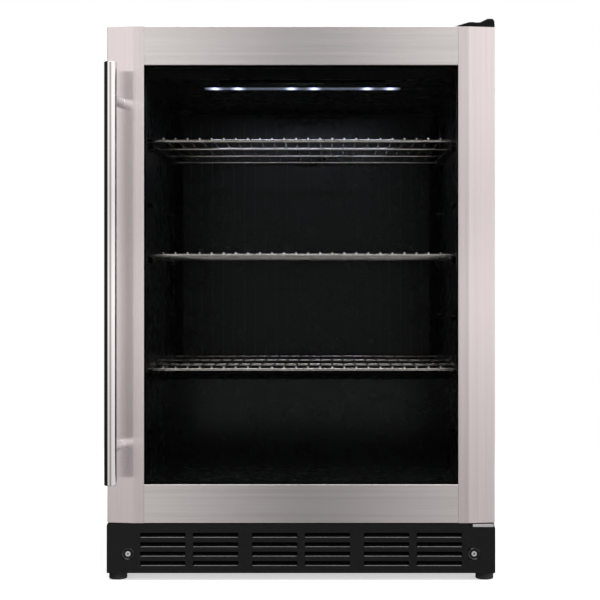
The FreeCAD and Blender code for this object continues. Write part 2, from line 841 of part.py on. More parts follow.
def rail(edge, way):
    """One folded rail between the stiles: its outer edge is turned back, its inner edge has a lip."""
    gauge = "sheet_gauge"
    inner = f"{edge} + ({way}) * rail_height"
    points = [
        ("0", edge), ("0", inner), ("lip_depth", inner), ("lip_depth", f"{inner} - ({way}) * {gauge}"),
        (gauge, f"{inner} - ({way}) * {gauge}"), (gauge, f"{edge} + ({way}) * {gauge}"),
        ("door_thickness", f"{edge} + ({way}) * {gauge}"), ("door_thickness", edge),
    ]
    return side_prism(points, ("-window_half + fit_gap / 2", "window_half - fit_gap / 2"))


def post_rods(radius, start, length):
    """Rods square to the handle-side stile's sloping face, start mm along from that face."""
    reach = value("handle_axis + stile_drop / 2")
    lean = math.degrees(math.atan2(value("post_shift"), reach))
    turn = Rotation(Vector(0, 0, 1), -lean) * FRONT
    slope = "atan(post_shift / (handle_axis + stile_drop / 2))"
    x = f"post_shift - handle_side - ({start}) * sin({slope})"
    face = "stile_drop * (1 - (handle_inset + post_shift) / bend)"
    depth = f"{face} - ({start}) * cos({slope})"
    return [rod(x, depth, f"handle_height + {way} * post_spacing / 2", radius, length, turn)
            for way in ("-1", "1")]


def door_frame():
    through = post_rods("post_screw / 2 + fit_gap", "1 - post_head_start", "2 * (post_head_start - 1)")
    node("door_stile_left", cut(stile("-1"), *through))
    node("door_stile_right", stile("1"))
    node("door_rails", group(rail("door_top", "-1"), rail("door_bottom", "1")))

    clear = "sheet_gauge + fit_gap"
    caps = []
    for side in ("-1", "1"):
        for base in ("door_bottom", "door_top - cap_thickness"):
            def x(inset):
                return f"{side} * (half_width - ({inset}))"

            inner = x(f"stile_width - ({clear})")
            cap = plan_prism([(x(clear), f"stile_drop + {clear}"), (x("bend"), clear), (inner, clear),
                              (inner, "door_thickness"), (x(clear), "door_thickness")],
                             (base, f"{base} + cap_thickness"))
            if side == "1":
                cap = cut(cap, rod("pivot_side", "pivot_depth", "0", "bush_diameter / 2", "cabinet_top + 20"))
            caps.append(cap)
    node("door_end_caps", group(*caps))

    window = rectangle("window_half", "window_base", "window_top")
    seat = rectangle("pane_half", "pane_base", "pane_top", "-fit_gap")
    wall = rectangle("pane_half", "pane_base", "pane_top", "-glass_seat")
    clear_end = "cap_thickness + fit_gap"
    plate = (f"half_width - ({clear})", f"door_bottom + ({clear_end})", f"door_top - ({clear_end})")
    back = "door_thickness - back_plate"
    rings = [mitred_ring(plate, window, (back, "door_thickness")),
             mitred_ring(wall, seat, ("frame_front", back)),
             mitred_ring(seat, window, ("pane_back", back))]
    node("door_inner_frame", group(*[fuse(*strips) for strips in zip(*rings)]))


def door_glass():
    panes = []
    for front in ("pane_front", "pane_back - glass_thickness"):
        panes.append(wide_box("pane_half", (front, f"{front} + glass_thickness"), ("pane_base", "pane_top")))
    node("door_glass", group(*panes))
    middle = "pane_front + glass_thickness"
    pane = ("pane_half", "pane_base", "pane_top")
    node("glass_spacer", group(*mitred_ring(rectangle(*pane, "spacer_inset"),
                                            rectangle(*pane, "spacer_inset + spacer_band"),
                                            (middle, f"{middle} + glass_space"))))


def door_gasket():
    outer = ("half_width", "door_bottom", "door_top")
    foot = mitred_ring(rectangle(*outer, "gasket_inset"), rectangle(*outer, "gasket_inset + gasket_width"),
                       ("door_thickness", "door_thickness + gasket_base"))
    bulb = mitred_ring(rectangle(*outer, "gasket_inset + gasket_shoulder"),
                       rectangle(*outer, "gasket_inset + gasket_width - gasket_shoulder"),
                       ("door_thickness + gasket_base", "cabinet_front - gasket_clearance"))
    node("door_gasket", group(*[fuse(*strips) for strips in zip(foot, bulb)]))


def door_bushes():
    bushes = []
    for base, rim in (("door_bottom", "door_bottom + cap_thickness"),
                      ("door_top - bush_length", "door_top - cap_thickness - bush_rim")):
        sleeve = rod("pivot_side", "pivot_depth", base, "bush_diameter / 2", "bush_length")
        collar = rod("pivot_side", "pivot_depth", rim, "bush_flange / 2", "bush_rim")
        bore = rod("pivot_side", "pivot_depth", "0", "pin_diameter / 2 + bearing_gap", "cabinet_top + 20")
        bushes.append(cut(fuse(sleeve, collar), bore))
    node("door_bushes", group(*bushes))


def handle():
    low = "handle_height - handle_length / 2"
    axis = ("-handle_side", "-handle_axis")
    tube = cut(rod(*axis, low, "handle_diameter / 2", "handle_length"),
               rod(*axis, f"{low} + handle_plug", "handle_diameter / 2 - handle_wall",
                   "handle_length - 2 * handle_plug"))
    node("handle_bar", tube)
    stand = "handle_axis + stile_drop / 2"
    posts = [cut(post, rod(*axis, low, "handle_diameter / 2", "handle_length"), thread)
             for post, thread in zip(post_rods("post_diameter / 2", "0", stand),
                                     post_rods("post_screw / 2", "-1", "post_screw_grip + post_screw_start"))]
    node("handle_posts", group(*posts))
    shanks = post_rods("post_screw / 2", "-post_screw_start", "post_screw_grip")
    heads = post_rods("post_head / 2", "-post_head_start", "post_head_height")
    node("handle_screws", group(*[fuse(shank, head) for shank, head in zip(shanks, heads)]))


# ---------------------------------------------------------------- shelves


def shelf_places():
    """Heights of the three shelves' cross rods."""
    return [f"shelf_level - {index} * shelf_pitch" for index in range(3)]


def shelves():
    rod_radius = "shelf_rod / 2"
    wire_level = f"shelf_level + {rod_radius} + shelf_wire / 2 - shelf_weld"
    bars = []
    for index in range(4):
        depth = f"shelf_front + {rod_radius} + {index} * (shelf_depth - shelf_rod) / 3"
        bars.append(rod("-shelf_half", depth, "shelf_level", rod_radius, "2 * shelf_half", RIGHT))
    for index in range(24):
        x = f"({index} - 11.5) * shelf_wire_pitch"
        bars.append(rod(x, "shelf_front", wire_level, "shelf_wire / 2", "shelf_depth", BACK))
    top = fuse(*bars)
    node("shelf_top", top)
    for index, name in ((1, "shelf_middle"), (2, "shelf_bottom")):
        lower = group(top)
        lower.setExpression("Placement.Base.z", spell(f"-{index} * shelf_pitch"))
        node(name, lower)


def shelf_supports():
    pegs = []
    rails = []
    levels = [f"{level} - shelf_rod / 2" for level in shelf_places()]
    spare = [f"{level} - shelf_pitch / 2" for level in levels]
    front = "shelf_front + peg_front"
    rear = "shelf_front + shelf_depth - 3 * peg_front"
    for side, turn in (("-1", RIGHT), ("1", Rotation(Vector(0, 1, 0), -90))):
        for level in levels + spare:
            under = f"{level} - rail_gauge - peg_diameter / 2"
            second = "hump_front - peg_front" if level is spare[-1] else rear
            for depth in (front, second):
                pegs.append(rod(f"{side} * liner_half", depth, under, "peg_diameter / 2", "peg_length", turn))
        for level in levels:
            def x(inset):
                return f"{side} * (liner_half - ({inset}))"

            points = [(x("0"), f"{level} - rail_gauge"), (x("rail_reach"), f"{level} - rail_gauge"),
                      (x("rail_reach"), level), (x("rail_lip"), level),
                      (x("rail_lip"), f"{level} + rail_lip_height"), (x("0"), f"{level} + rail_lip_height")]
            rails.append(face_prism(points, ("shelf_front + rail_front",
                                             "shelf_front + shelf_depth - rail_end")))
    node("support_pegs", group(*pegs))
    node("shelf_rails", group(*rails))


# ---------------------------------------------------------------- lamp and controls


def lamp():
    half = "lamp_width / 2"
    low = "liner_ceiling - lamp_height"
    back = "lamp_front + lamp_depth"
    housing = cut(wide_box(half, ("lamp_front", back), (low, "liner_ceiling")),
                  wide_box(f"{half} - lamp_wall", ("lamp_front + lamp_wall", f"{back} - lamp_wall"),
                           (f"{low} - 1", "liner_ceiling - lamp_wall")))
    node("lamp_housing", housing)
    inner = f"{half} - lamp_wall - fit_gap"
    depth = ("lamp_front + lamp_wall + fit_gap", f"{back} - lamp_wall - fit_gap")
    board_top = "liner_ceiling - lamp_wall"
    board = wide_box(inner, depth, (f"{board_top} - lamp_board", board_top))
    middle = "lamp_front + lamp_depth / 2"
    chips = []
    for pair in ("-1", "0", "1"):
        for way in ("-1", "1"):
            x = f"{pair} * led_pair_pitch + {way} * led_spacing / 2"
            chips.append(box((f"{x} - led_size / 2", f"{x} + led_size / 2"),
                             (f"{middle} - led_size / 2", f"{middle} + led_size / 2"),
                             (f"{board_top} - lamp_board - led_height", f"{board_top} - lamp_board + 0.1")))
    node("lamp_board", fuse(board, *chips))
    node("lamp_lens", wide_box(inner, depth, (low, f"{low} + lamp_wall")))


def controls():
    half = "control_width / 2"
    low = "liner_ceiling - control_height"
    back = "control_front + control_depth"
    middle = "control_front + control_depth / 2"
    bores = [rod(x, middle, f"{low} - 1", "button_diameter / 2 + button_gap", "control_wall + 2")
             for x in button_places()]
    node("control_housing", cut(
        wide_box(half, ("control_front", back), (low, "liner_ceiling")),
        wide_box(f"{half} - control_wall", ("control_front + control_wall", f"{back} - control_wall"),
                 (f"{low} + control_wall", "liner_ceiling - control_wall")), *bores))
    names = ("power", "lamp", "warmer", "cooler")
    for name, x in zip(names, button_places()):
        cap = rod(x, middle, f"{low} - button_stand", "button_diameter / 2",
                  "button_stand + control_wall + button_rim_height / 2")
        rim = rod(x, middle, f"{low} + control_wall", "button_rim / 2", "button_rim_height")
        node(f"button_{name}", fuse(cap, rim))


def button_places():
    """The x of the four buttons, two on each side of the display."""
    return [f"{side} * button_centre + ({way}) * button_pitch / 2"
            for side in ("-1", "1") for way in ("-1", "1")]


# ---------------------------------------------------------------- fans and evaporator


def fan(size, turn, x, depth, z):
    """A square fan: its frame with the motor on four struts, and its rotor, both about local Z."""
    def local(kind, **sizes):
        item = document.addObject(kind, "Fan")
        bind(item, **sizes)
        return item

    def slab(length, width, height, base):
        item = local("Part::Box", Length=length, Width=width, Height=height)
        item.setExpression("Placement.Base.x", spell(f"-({length}) / 2"))
        item.setExpression("Placement.Base.y", spell(f"-({width}) / 2"))
        item.setExpression("Placement.Base.z", spell(base))
        return item

    def disc(radius, height, base):
        item = local("Part::Cylinder", Radius=radius, Height=height)
        item.setExpression("Placement.Base.z", spell(base))
        return item

    inner = f"{size} / 2 - fan_rim"
    frame = cut(slab(size, size, "fan_thickness", "0"), disc(inner, "fan_thickness + 2", "-1"))
    struts = fuse(slab(f"{size} - fan_rim", "fan_strut", "fan_strut", "0"),
                  slab("fan_strut", f"{size} - fan_rim", "fan_strut", "0"),
                  disc("fan_hub / 2", "fan_motor_height", "0"))
    case = cut(fuse(frame, struts), disc("fan_shaft / 2 + bearing_gap", "fan_motor_height", "2"))

    blades = []
    tip = f"{inner} - fan_tip_gap"
    for index in range(5):
        blade = local("Part::Box", Length=f"{tip} - fan_hub / 2 + 2", Width="fan_blade_chord",
                      Height="fan_blade_gauge")
        angle = 360 * index / 5
        pitch = value("fan_blade_pitch")
        spin = Rotation(Vector(0, 0, 1), angle) * Rotation(Vector(1, 0, 0), pitch)
        root = spin.multVec(Vector(value("fan_hub / 2 - 2"), -value("fan_blade_chord") / 2, 0))
        blade.Placement = Placement(root + Vector(0, 0, value("fan_thickness") * 0.64), spin)
        blades.append(blade)
    rotor = fuse(disc("fan_hub / 2", "fan_hub_height", "fan_hub_base"),
                 disc("fan_shaft / 2", "fan_hub_base", "fan_shaft_base"), *blades)
    return [place(item, x, depth, z, turn) for item in (case, rotor)]


def evaporator():
    half = "evaporator_cover_half"
    top = "liner_ceiling - evaporator_cover_top"
    base = "hump_top + evaporator_cover_base"
    gauge = "evaporator_cover_gauge"
    panel = cut(wide_box(half, ("cover_front", "liner_back"), (base, top)),
                wide_box(f"{half} - {gauge}", (f"cover_front + {gauge}", "liner_back + 1"),
                         (f"{base} + {gauge}", f"{top} - {gauge}")))
    flutes = [box((f"{index} * flute_pitch - flute_width / 2", f"{index} * flute_pitch + flute_width / 2"),
                  ("cover_front - flute_height", f"cover_front + {gauge} / 2"),
                  (f"{base} + flute_end", f"{top} - flute_end")) for index in range(-11, 12)]
    through = ("cover_front - 2 * flute_height", f"cover_front + {gauge} + 1")
    openings = []
    for index in range(-4, 5):
        centre = f"{index} * evaporator_fan / 11"
        reach = f"evaporator_fan * {math.sqrt(0.2 - 0.011 * index * index) / 2:.4f}"
        openings.append(box((f"{centre} - grille_bar / 2", f"{centre} + grille_bar / 2"), through,
                            (f"fan_level - {reach}", f"fan_level + {reach}")))
    slot_base = f"{base} + return_slot_base"
    slots = [box((f"{index} * return_slot_pitch - return_slot_width / 2",
                  f"{index} * return_slot_pitch + return_slot_width / 2"), through,
                 (slot_base, f"{slot_base} + return_slot_height")) for index in range(-8, 9)]
    node("evaporator_cover", cut(fuse(panel, *flutes), *openings, *slots))

    plate_bottom = f"{base} + evaporator_lift"
    plate_upper = f"{plate_bottom} + evaporator_height"
    plate_back = "liner_back - evaporator_inset"
    plate = wide_box("evaporator_width / 2", (f"{plate_back} - evaporator_gauge", plate_back),
                     (plate_bottom, plate_upper))
    hooks = []
    for side in ("-1", "1"):
        x = f"{side} * evaporator_width / 2.4"
        hooks.append(box((f"{x} - hook_width / 2", f"{x} + hook_width / 2"),
                         (f"{plate_back} - evaporator_gauge / 2", "liner_back"),
                         (f"{plate_upper} - hook_drop", f"{plate_upper} - hook_drop + hook_width")))
    run_pitch = "(evaporator_height - 2 * evaporator_run_base) / 5"
    runs = [rod("-evaporator_width / 2 + evaporator_edge", f"{plate_back} - evaporator_gauge",
                f"{plate_bottom} + evaporator_run_base + {index} * {run_pitch}", "evaporator_tube / 2",
                "evaporator_width - 2 * evaporator_edge", RIGHT) for index in range(6)]
    node("evaporator_plate", fuse(plate, *hooks, *runs))
    frame, rotor = fan("evaporator_fan", FRONT, "0", f"cover_front + {gauge} + fan_thickness", "fan_level")
    node("evaporator_fan_frame", frame)
    node("evaporator_fan_rotor", rotor)
    tube_base = "hump_top - drain_length"
    axis = ("-drain_offset", "drain_depth")
    node("drain_tube", cut(rod(*axis, tube_base, "drain_diameter / 2", "drain_length"),
                           rod(*axis, f"{tube_base} - 1", "drain_bore / 2", "drain_length + 2")))


# ---------------------------------------------------------------- machine compartment


def compressor():
    x = "compressor_side"
    foot = "pan_top + grommet_height"
    can_base = f"{foot} + compressor_plate - compressor_seam"
    radius = "compressor_diameter / 2"
    height = "compressor_height"
    outline = [
        ("0", "0"), (f"{radius} * 0.8", "0"), (radius, "compressor_base_edge"),
        (radius, f"{height} - compressor_shoulder"),
        (f"{radius} * 0.92", f"{height} - compressor_shoulder * 0.45"),
        (f"{radius} * 0.66", f"{height} - compressor_shoulder * 0.12"), ("0", height),
    ]
    across = "compressor_foot_span / 2 + compressor_plate_edge"
    along = "compressor_foot_span * compressor_foot_share / 2 + grommet_diameter / 2"
    plate = box((f"{x} - ({across})", f"{x} + {across}"),
                (f"machine_depth - ({along})", f"machine_depth + {along}"),
                (foot, f"{foot} + compressor_plate"))
    node("compressor", fuse(turned(outline, x, "machine_depth", can_base), plate))
    node("compressor_grommets", group(*[
        rod(f"{x} + {aside}", f"machine_depth + {behind}", "pan_top", "grommet_diameter / 2",
            "grommet_height") for aside, behind in grommet_offsets()]))
    side = f"{x} - {radius} - relay_width"
    node("relay_cover", cut(
        box((side, f"{side} + relay_width + relay_wrap"),
            ("machine_depth - relay_length / 2", "machine_depth + relay_length / 2"),
            (f"{foot} + relay_lift", f"{foot} + relay_lift + relay_height")),
        rod(x, "machine_depth", "0", f"{radius} + bearing_gap * 2", "door_top")))
    pan_base = f"{can_base} + {height} + pan_lift"

    def tray(inset, z):
        return box((f"{x} - pan_width / 2 + {inset}", f"{x} + pan_width / 2 - {inset}"),
                   (f"machine_depth - pan_length / 2 + {inset}",
                    f"machine_depth + pan_length / 2 - {inset}"), z)

    pan = cut(tray("0", (pan_base, f"{pan_base} + pan_depth")),
              tray("pan_wall", (f"{pan_base} + pan_wall", f"{pan_base} + pan_depth + 1")))
    pad = rod(x, "machine_depth", f"{pan_base} - pan_lift", "pan_pad / 2", "pan_lift")
    node("drain_pan", fuse(pan, pad))


def condenser():
    right = "-condenser_fan_side"
    left = f"{right} - condenser_thickness"
    front = "machine_depth - condenser_size / 2"
    back = "machine_depth + condenser_size / 2"
    base = "pan_top"
    core = box((left, right), (f"{front} + fin_reach", f"{back} - fin_reach"),
               (f"{base} + fin_reach", f"{base} + condenser_size - fin_reach"))
    fins = []
    for index in range(24):
        depth = f"{front} + {index} * fin_pitch + fin_gauge"
        fins.append(box((f"{left} - fin_reach", f"{right} + fin_reach"), (depth, f"{depth} + fin_gauge"),
                        (base, f"{base} + condenser_size")))
    bends = []
    for index in range(5):
        level = f"{base} + coil_bend_base + {index} * (condenser_size - 2 * coil_bend_base) / 4"
        bend = document.addObject("Part::Torus", "Bend")
        bind(bend, Radius1="condenser_thickness / 4", Radius2="condenser_tube / 2", Angle3="180")
        place(bend, f"({left} + {right}) / 2", f"{front} + fin_reach + 0.5", level,
              Rotation(Vector(0, 0, 1), 180))
        bends.append(bend)
    node("condenser_coil", fuse(core, *fins, *bends))
    frame, rotor = fan("condenser_fan", RIGHT, f"{right} + fin_reach", "machine_depth",
                       f"{base} + condenser_fan / 2")
    node("condenser_fan_frame", frame)
    node("condenser_fan_rotor", rotor)


def refrigerant_circuit():
    neck = "pipe_diameter / 2"
    x = "-drier_side"
    depth = "bulkhead_depth + drier_set_back"
    top = "drier_level + drier_length"
    drier = turned([("0", "0"), (neck, "0"), (neck, "drier_neck"), ("drier_diameter / 2", "drier_cone"),
                    ("drier_diameter / 2", "drier_length - drier_cone"), (neck, "drier_length - drier_neck"),
                    (neck, "drier_length"), ("0", "drier_length")], x, depth, "drier_level")
    node("filter_drier", drier)
    outlet = "compressor_side - 20"
    discharge = pipe([
        (outlet, "machine_depth - compressor_diameter / 2 + 1", "pan_top + 60"),
        (outlet, "bulkhead_depth + 12", "pan_top + 60"),
        ("compressor_side - 120", "bulkhead_depth + 8", "pan_top + 20"),
        (x, depth, "drier_level / 2"), (x, depth, "drier_level")], neck)
    suction = pipe([
        (x, depth, top), (x, depth, "pan_top + grommet_height + 160"),
        ("40", "bulkhead_depth + 14", "bulkhead_top - 25"),
        ("90", "bulkhead_depth + 12", "bulkhead_top - 25"), ("90", "bulkhead_depth + 12", "bulkhead_top")],
        neck)
    node("refrigerant_pipes", group(discharge, suction))


def rear_cover():
    cover = wide_box("half_width - sheet_gauge", ("cabinet_back - sheet_gauge", "cabinet_back"),
                     ("foot_height", "bulkhead_top + sheet_gauge"))
    slots = []
    for line in range(8):
        base = f"foot_height + vent_base + {line} * vent_pitch"
        for side in ("-1", "1"):
            centre = f"{side} * vent_side"
            slots.append(box((f"{centre} - vent_width / 2", f"{centre} + vent_width / 2"),
                             ("cabinet_back - 5", "cabinet_back + 5"), (base, f"{base} + vent_height")))

    def ring(start, end, radius):
        return rod("-gland_side", f"cabinet_back - {start}", "gland_level", radius,
                   f"{start} - ({end})", BACK)

    node("rear_machine_cover", cut(cover, ring("5", "-5", "gland_diameter / 2"), *slots))
    barrel = ring("gland_length", "gland_lip", "gland_diameter / 2")
    flange = ring("(sheet_gauge + gland_lip)", "sheet_gauge", "gland_flange / 2")
    nose = ring("gland_length", "0", "gland_diameter / 2 - bearing_gap")
    node("cord_gland", cut(fuse(barrel, flange, nose), ring("20", "-10", "gland_bore / 2")))


# ---------------------------------------------------------------- build and write

cabinet_shell()
base_pan()
machine_bulkhead()
inner_liner()
insulation()
toe_kick()
levelling_feet()
hinges()
top_hinge_cover()
door_frame()
door_glass()
door_gasket()
door_bushes()
handle()
shelves()
shelf_supports()
lamp()
controls()
evaporator()
compressor()
condenser()
refrigerant_circuit()
rear_cover()

document.recompute()

failed = [item.Label for item in document.Objects if {"Invalid", "Error"} & set(item.State)]
failed += [item.Label for item in nodes if item.Shape.isNull() or not item.Shape.isValid()]
if failed:
    raise RuntimeError(f"these objects failed: {failed}")
if len(nodes) > 60:
    raise RuntimeError(f"too many sub-parts: {len(nodes)}")

os.makedirs("parts", exist_ok=True)
for item in nodes:
    item.Shape.exportStep(f"parts/{item.Label}.step")
    print(f"{item.Label}: {len(item.Shape.Solids)} solid(s), {item.Shape.Volume / 1000:.1f} cm3")
print(f"{len(nodes)} sub-parts")
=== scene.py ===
"""Visual model of an undercounter glass-door beverage cooler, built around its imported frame."""
import logging
import math
from dataclasses import dataclass
from enum import Enum
from typing import Any, Iterable, Sequence

import bmesh
import bpy
from bmesh.types import BMEdge, BMesh, BMVert
from bpy.types import Material, Node, NodeSocket, NodeTree, Object
from mathutils import Matrix, Vector


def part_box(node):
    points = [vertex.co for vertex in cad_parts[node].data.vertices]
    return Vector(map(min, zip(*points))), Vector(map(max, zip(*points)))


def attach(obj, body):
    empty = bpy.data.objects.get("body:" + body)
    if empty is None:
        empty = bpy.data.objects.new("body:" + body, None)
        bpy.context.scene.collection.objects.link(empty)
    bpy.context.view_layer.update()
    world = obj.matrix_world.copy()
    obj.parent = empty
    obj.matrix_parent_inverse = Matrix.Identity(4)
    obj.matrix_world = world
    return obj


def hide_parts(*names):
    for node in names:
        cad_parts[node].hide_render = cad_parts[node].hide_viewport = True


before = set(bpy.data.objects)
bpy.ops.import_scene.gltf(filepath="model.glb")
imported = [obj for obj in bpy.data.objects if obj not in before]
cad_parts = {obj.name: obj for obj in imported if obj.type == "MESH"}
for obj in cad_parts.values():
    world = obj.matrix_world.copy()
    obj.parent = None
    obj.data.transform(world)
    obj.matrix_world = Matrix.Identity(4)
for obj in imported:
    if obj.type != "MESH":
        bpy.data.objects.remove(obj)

Point = Sequence[float]
Pairs = Sequence[tuple[float, float]]
# (left, right, base, top)
Hole = tuple[float, float, float, float]
# (start, end, level at the start, level at the end)
Slope = tuple[float, float, float, float]

MM = 0.001
FACET_ANGLE = math.radians(32)
LEAST_ROUGHNESS = 0.02
BROAD_STEP = 9
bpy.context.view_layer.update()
log = logging.getLogger("cooler")


# ---------------------------------------------------------------- colours and shader nodes


def linear(code: str) -> tuple[float, float, float, float]:
    """Turn an sRGB hex colour into linear RGBA.

    Args:
        code: six hex digits.

    Returns:
        The linear colour with an alpha of 1.
    """
    parts = [int(code[index:index + 2], 16) / 255 for index in (0, 2, 4)]
    curve = [part / 12.92 if part <= 0.04045 else ((part + 0.055) / 1.055) ** 2.4 for part in parts]
    return (*curve, 1.0)


def plug(tree: NodeTree, node: Node, inputs: dict[Any, Any]) -> None:
    """Set or link the inputs of a node.

    Args:
        tree: the node's tree.
        node: the node.
        inputs: socket name or number to a value, or to the socket or node it is linked from.
    """
    for name, source in inputs.items():
        origin = source.outputs[0] if isinstance(source, Node) else source
        if isinstance(origin, NodeSocket):
            tree.links.new(origin, node.inputs[name])
        else:
            node.inputs[name].default_value = origin


def add_node(tree: NodeTree, kind: str, inputs: dict[Any, Any] | None = None, **settings: Any) -> Node:
    """Add one shader node with its settings and links.

    Args:
        tree: the tree that gets the node.
        kind: the node's class name after "ShaderNode".
        inputs: as for plug.
        settings: attributes of the node.

    Returns:
        The new node.
    """
    made = tree.nodes.new("ShaderNode" + kind)
    for name, setting in settings.items():
        setattr(made, name, setting)
    plug(tree, made, inputs or {})
    return made


class Grain(Enum):
    """The way that the lines of a brushed or drawn surface run, as the pattern's stretch."""

    ALONG_X = (0.006, 1.0, 1.0)
    ALONG_Z = (1.0, 1.0, 0.006)
    NONE = (1.0, 1.0, 1.0)


@dataclass(frozen=True)
class Finish:
    """A real material with the way its surface was made.

    The pattern is a noise whose size is feature_mm. It moves the colour between two shades, moves
    the roughness by spread either way and raises the surface by relief_mm. Brushed lines also
    smear reflections across themselves, which brushing sets from 0 to 1.
    """

    name: str
    shade: str
    light_shade: str
    roughness: float = 0.5
    spread: float = 0.05
    metallic: float = 0.0
    feature_mm: float = 1.0
    relief_mm: float = 0.0
    grain: Grain = Grain.NONE
    brushing: float = 0.0
    coat: float = 0.0
    coat_roughness: float = 0.05
    ior: float = 1.5
    settings: tuple[tuple[str, float], ...] = ()

    def material(self) -> Material:
        """Make this finish's material, once.

        Returns:
            The material.
        """
        known = bpy.data.materials.get(self.name)
        if known is not None:
            return known
        made = bpy.data.materials.new(self.name)
        made.use_nodes = True
        tree = made.node_tree
        shader = tree.nodes["Principled BSDF"]
        plug(tree, shader, {"Metallic": self.metallic, "Coat Weight": self.coat,
                            "Coat Roughness": self.coat_roughness, **dict(self.settings)})
        if not self.metallic:
            plug(tree, shader, {"IOR": self.ior})
        if self.brushing:
            across = add_node(tree, "Tangent", direction_type="RADIAL", axis=self.grain.name[-1])
            plug(tree, shader, {"Anisotropic": self.brushing, "Tangent": across})
        self.surface(tree, shader)
        return made

    def pattern(self, tree: NodeTree, feature_mm: float, detail: float = 4.0) -> NodeSocket:
        """Add a noise of one feature size that follows the grain.

        Args:
            tree: the material's tree.
            feature_mm: width of one light-to-dark step across the grain.
            detail: octaves of finer noise.

        Returns:
            The noise's value, from 0 to 1.
        """
        place = add_node(tree, "TexCoord")
        scale = tuple(part / (feature_mm * MM) for part in self.grain.value)
        stretched = add_node(tree, "Mapping", {"Vector": place.outputs["Object"], "Scale": scale})
        noise = add_node(tree, "TexNoise", {"Vector": stretched, "Scale": 1.0, "Detail": detail})
        return noise.outputs["Fac"]

    def vary(self, tree: NodeTree, shader: Node, shade: Any, gloss: Any,
             shade_range: tuple[float, float] = (0.38, 0.62),
             gloss_range: tuple[float, float] = (0.35, 0.65)) -> None:
        """Drive the colour from one value and the roughness from another.

        Args:
            tree: the material's tree.
            shader: its Principled shader.
            shade: what the colour follows.
            gloss: what the roughness follows.
            shade_range: the values that give the darker and the lighter shade.
            gloss_range: the values that give the lowest and the highest roughness.
        """
        blend = add_node(tree, "ValToRGB", {"Fac": shade})
        codes = (self.shade, self.light_shade)
        for stop, position, code in zip(blend.color_ramp.elements, shade_range, codes):
            stop.position = position
            stop.color = linear(code)
        rough = add_node(tree, "MapRange", {
            "Value": gloss, "From Min": gloss_range[0], "From Max": gloss_range[1],
            "To Min": max(self.roughness - self.spread, LEAST_ROUGHNESS),
            "To Max": self.roughness + self.spread})
        plug(tree, shader, {"Base Color": blend, "Roughness": rough})

    def surface(self, tree: NodeTree, shader: Node) -> None:
        """Drive colour, roughness and relief from the pattern and a broader one.

        Args:
            tree: the material's tree.
            shader: its Principled shader.
        """
        value = self.pattern(tree, self.feature_mm)
        broad = self.pattern(tree, self.feature_mm * BROAD_STEP, 2.0)
        both = add_node(tree, "Math", {0: value, 1: broad}, operation="ADD")
        half = add_node(tree, "Math", {0: both, 1: 0.5}, operation="MULTIPLY")
        self.vary(tree, shader, half, half)
        if self.relief_mm:
            plug(tree, shader, {"Normal": add_node(tree, "Bump", {
                "Strength": 1.0, "Distance": self.relief_mm * MM, "Height": value})})


@dataclass(frozen=True)
class Spangled(Finish):
    """Zinc-coated sheet: flat crystals a few millimetres wide, each a slightly different grey."""

    def surface(self, tree: NodeTree, shader: Node) -> None:
        """Give each crystal its own shade and roughness.

        Args:
            tree: the material's tree.
            shader: its Principled shader.
        """
        place = add_node(tree, "TexCoord")
        cells = add_node(tree, "TexVoronoi", {
            "Vector": place.outputs["Object"], "Scale": 1 / (self.feature_mm * MM)})
        level = add_node(tree, "SeparateColor", {"Color": cells.outputs["Color"]})
        self.vary(tree, shader, level, level.outputs[1], (0.0, 1.0), (0.0, 1.0))


@dataclass(frozen=True)
class ClearSheet(Finish):
    """Float glass or a clear moulding: only faint wiping marks change its gloss."""

    def surface(self, tree: NodeTree, shader: Node) -> None:
        """Keep the tint even and vary the gloss very slightly."""
        rough = add_node(tree, "MapRange", {
            "Value": self.pattern(tree, self.feature_mm, 2.0), "From Min": 0.4, "From Max": 0.8,
            "To Min": self.roughness, "To Max": self.roughness + self.spread})
        plug(tree, shader, {"Base Color": linear(self.shade), "Transmission Weight": 1.0, "Roughness": rough})


@dataclass(frozen=True)
class LitCover(Finish):
    """A frosted cover over pairs of diodes: brightest over each, and dim between the pairs."""

    pair_pitch_mm: float = 123.0
    half_space_mm: float = 18.5
    spread_mm: float = 17.0
    sharpness: float = 2.4
    glow: float = 0.09
    peak: float = 2.6

    def surface(self, tree: NodeTree, shader: Node) -> None:
        """Raise the light over every diode, from the distance to the nearest one.

        Args:
            tree: the material's tree.
            shader: its Principled shader.
        """
        super().surface(tree, shader)
        place = add_node(tree, "TexCoord")
        level = add_node(tree, "SeparateXYZ", {"Vector": place.outputs["Object"]})
        for operation, number in (("PINGPONG", self.pair_pitch_mm * MM / 2),
                                  ("SUBTRACT", self.half_space_mm * MM), ("ABSOLUTE", 0.0)):
            level = add_node(tree, "Math", {0: level, 1: number}, operation=operation)
        near = add_node(tree, "MapRange", {"Value": level, "From Min": self.spread_mm * MM, "From Max": 0.0})
        sharp = add_node(tree, "Math", {0: near, 1: self.sharpness}, operation="POWER")
        power = add_node(tree, "MapRange", {"Value": sharp, "To Min": self.glow, "To Max": self.peak})
        plug(tree, shader, {"Emission Color": linear("D3D9FF"), "Emission Strength": power})


# Stainless sheet, brushed with a fine abrasive belt: hair lines, a light grey, and reflections that smear
# across the lines but stay crisp along them. The lines are drawn 0.6 mm wide, coarser than the real 0.1 mm,
# so that they show. The same steel comes in two copies: the stiles' copy is lighter and pinker as painted
# light, and the rails' copy is darker and cooler as painted shade.
STEEL_UPRIGHT_PAINTED_LIGHT = Finish("stainless_brushed_upright", "DAD3D3", "E1DADA", 0.24, 0.015, 1.0, 0.6, 0.0001,
                       Grain.ALONG_Z, 1.0)
STEEL_LEVEL_PAINTED_SHADE = Finish("stainless_brushed_level", "D1CECD", "D8D5D4", 0.24, 0.015, 1.0, 0.6, 0.0001,
                     Grain.ALONG_X, 1.0)
# Stainless tube, drawn and then polished: a mirror with very faint lengthwise lines.
STEEL_TUBE = Finish("stainless_polished_tube", "D2D1D1", "D8D7D7", 0.07, 0.02, 1.0, 0.4, 0.0, Grain.ALONG_Z)
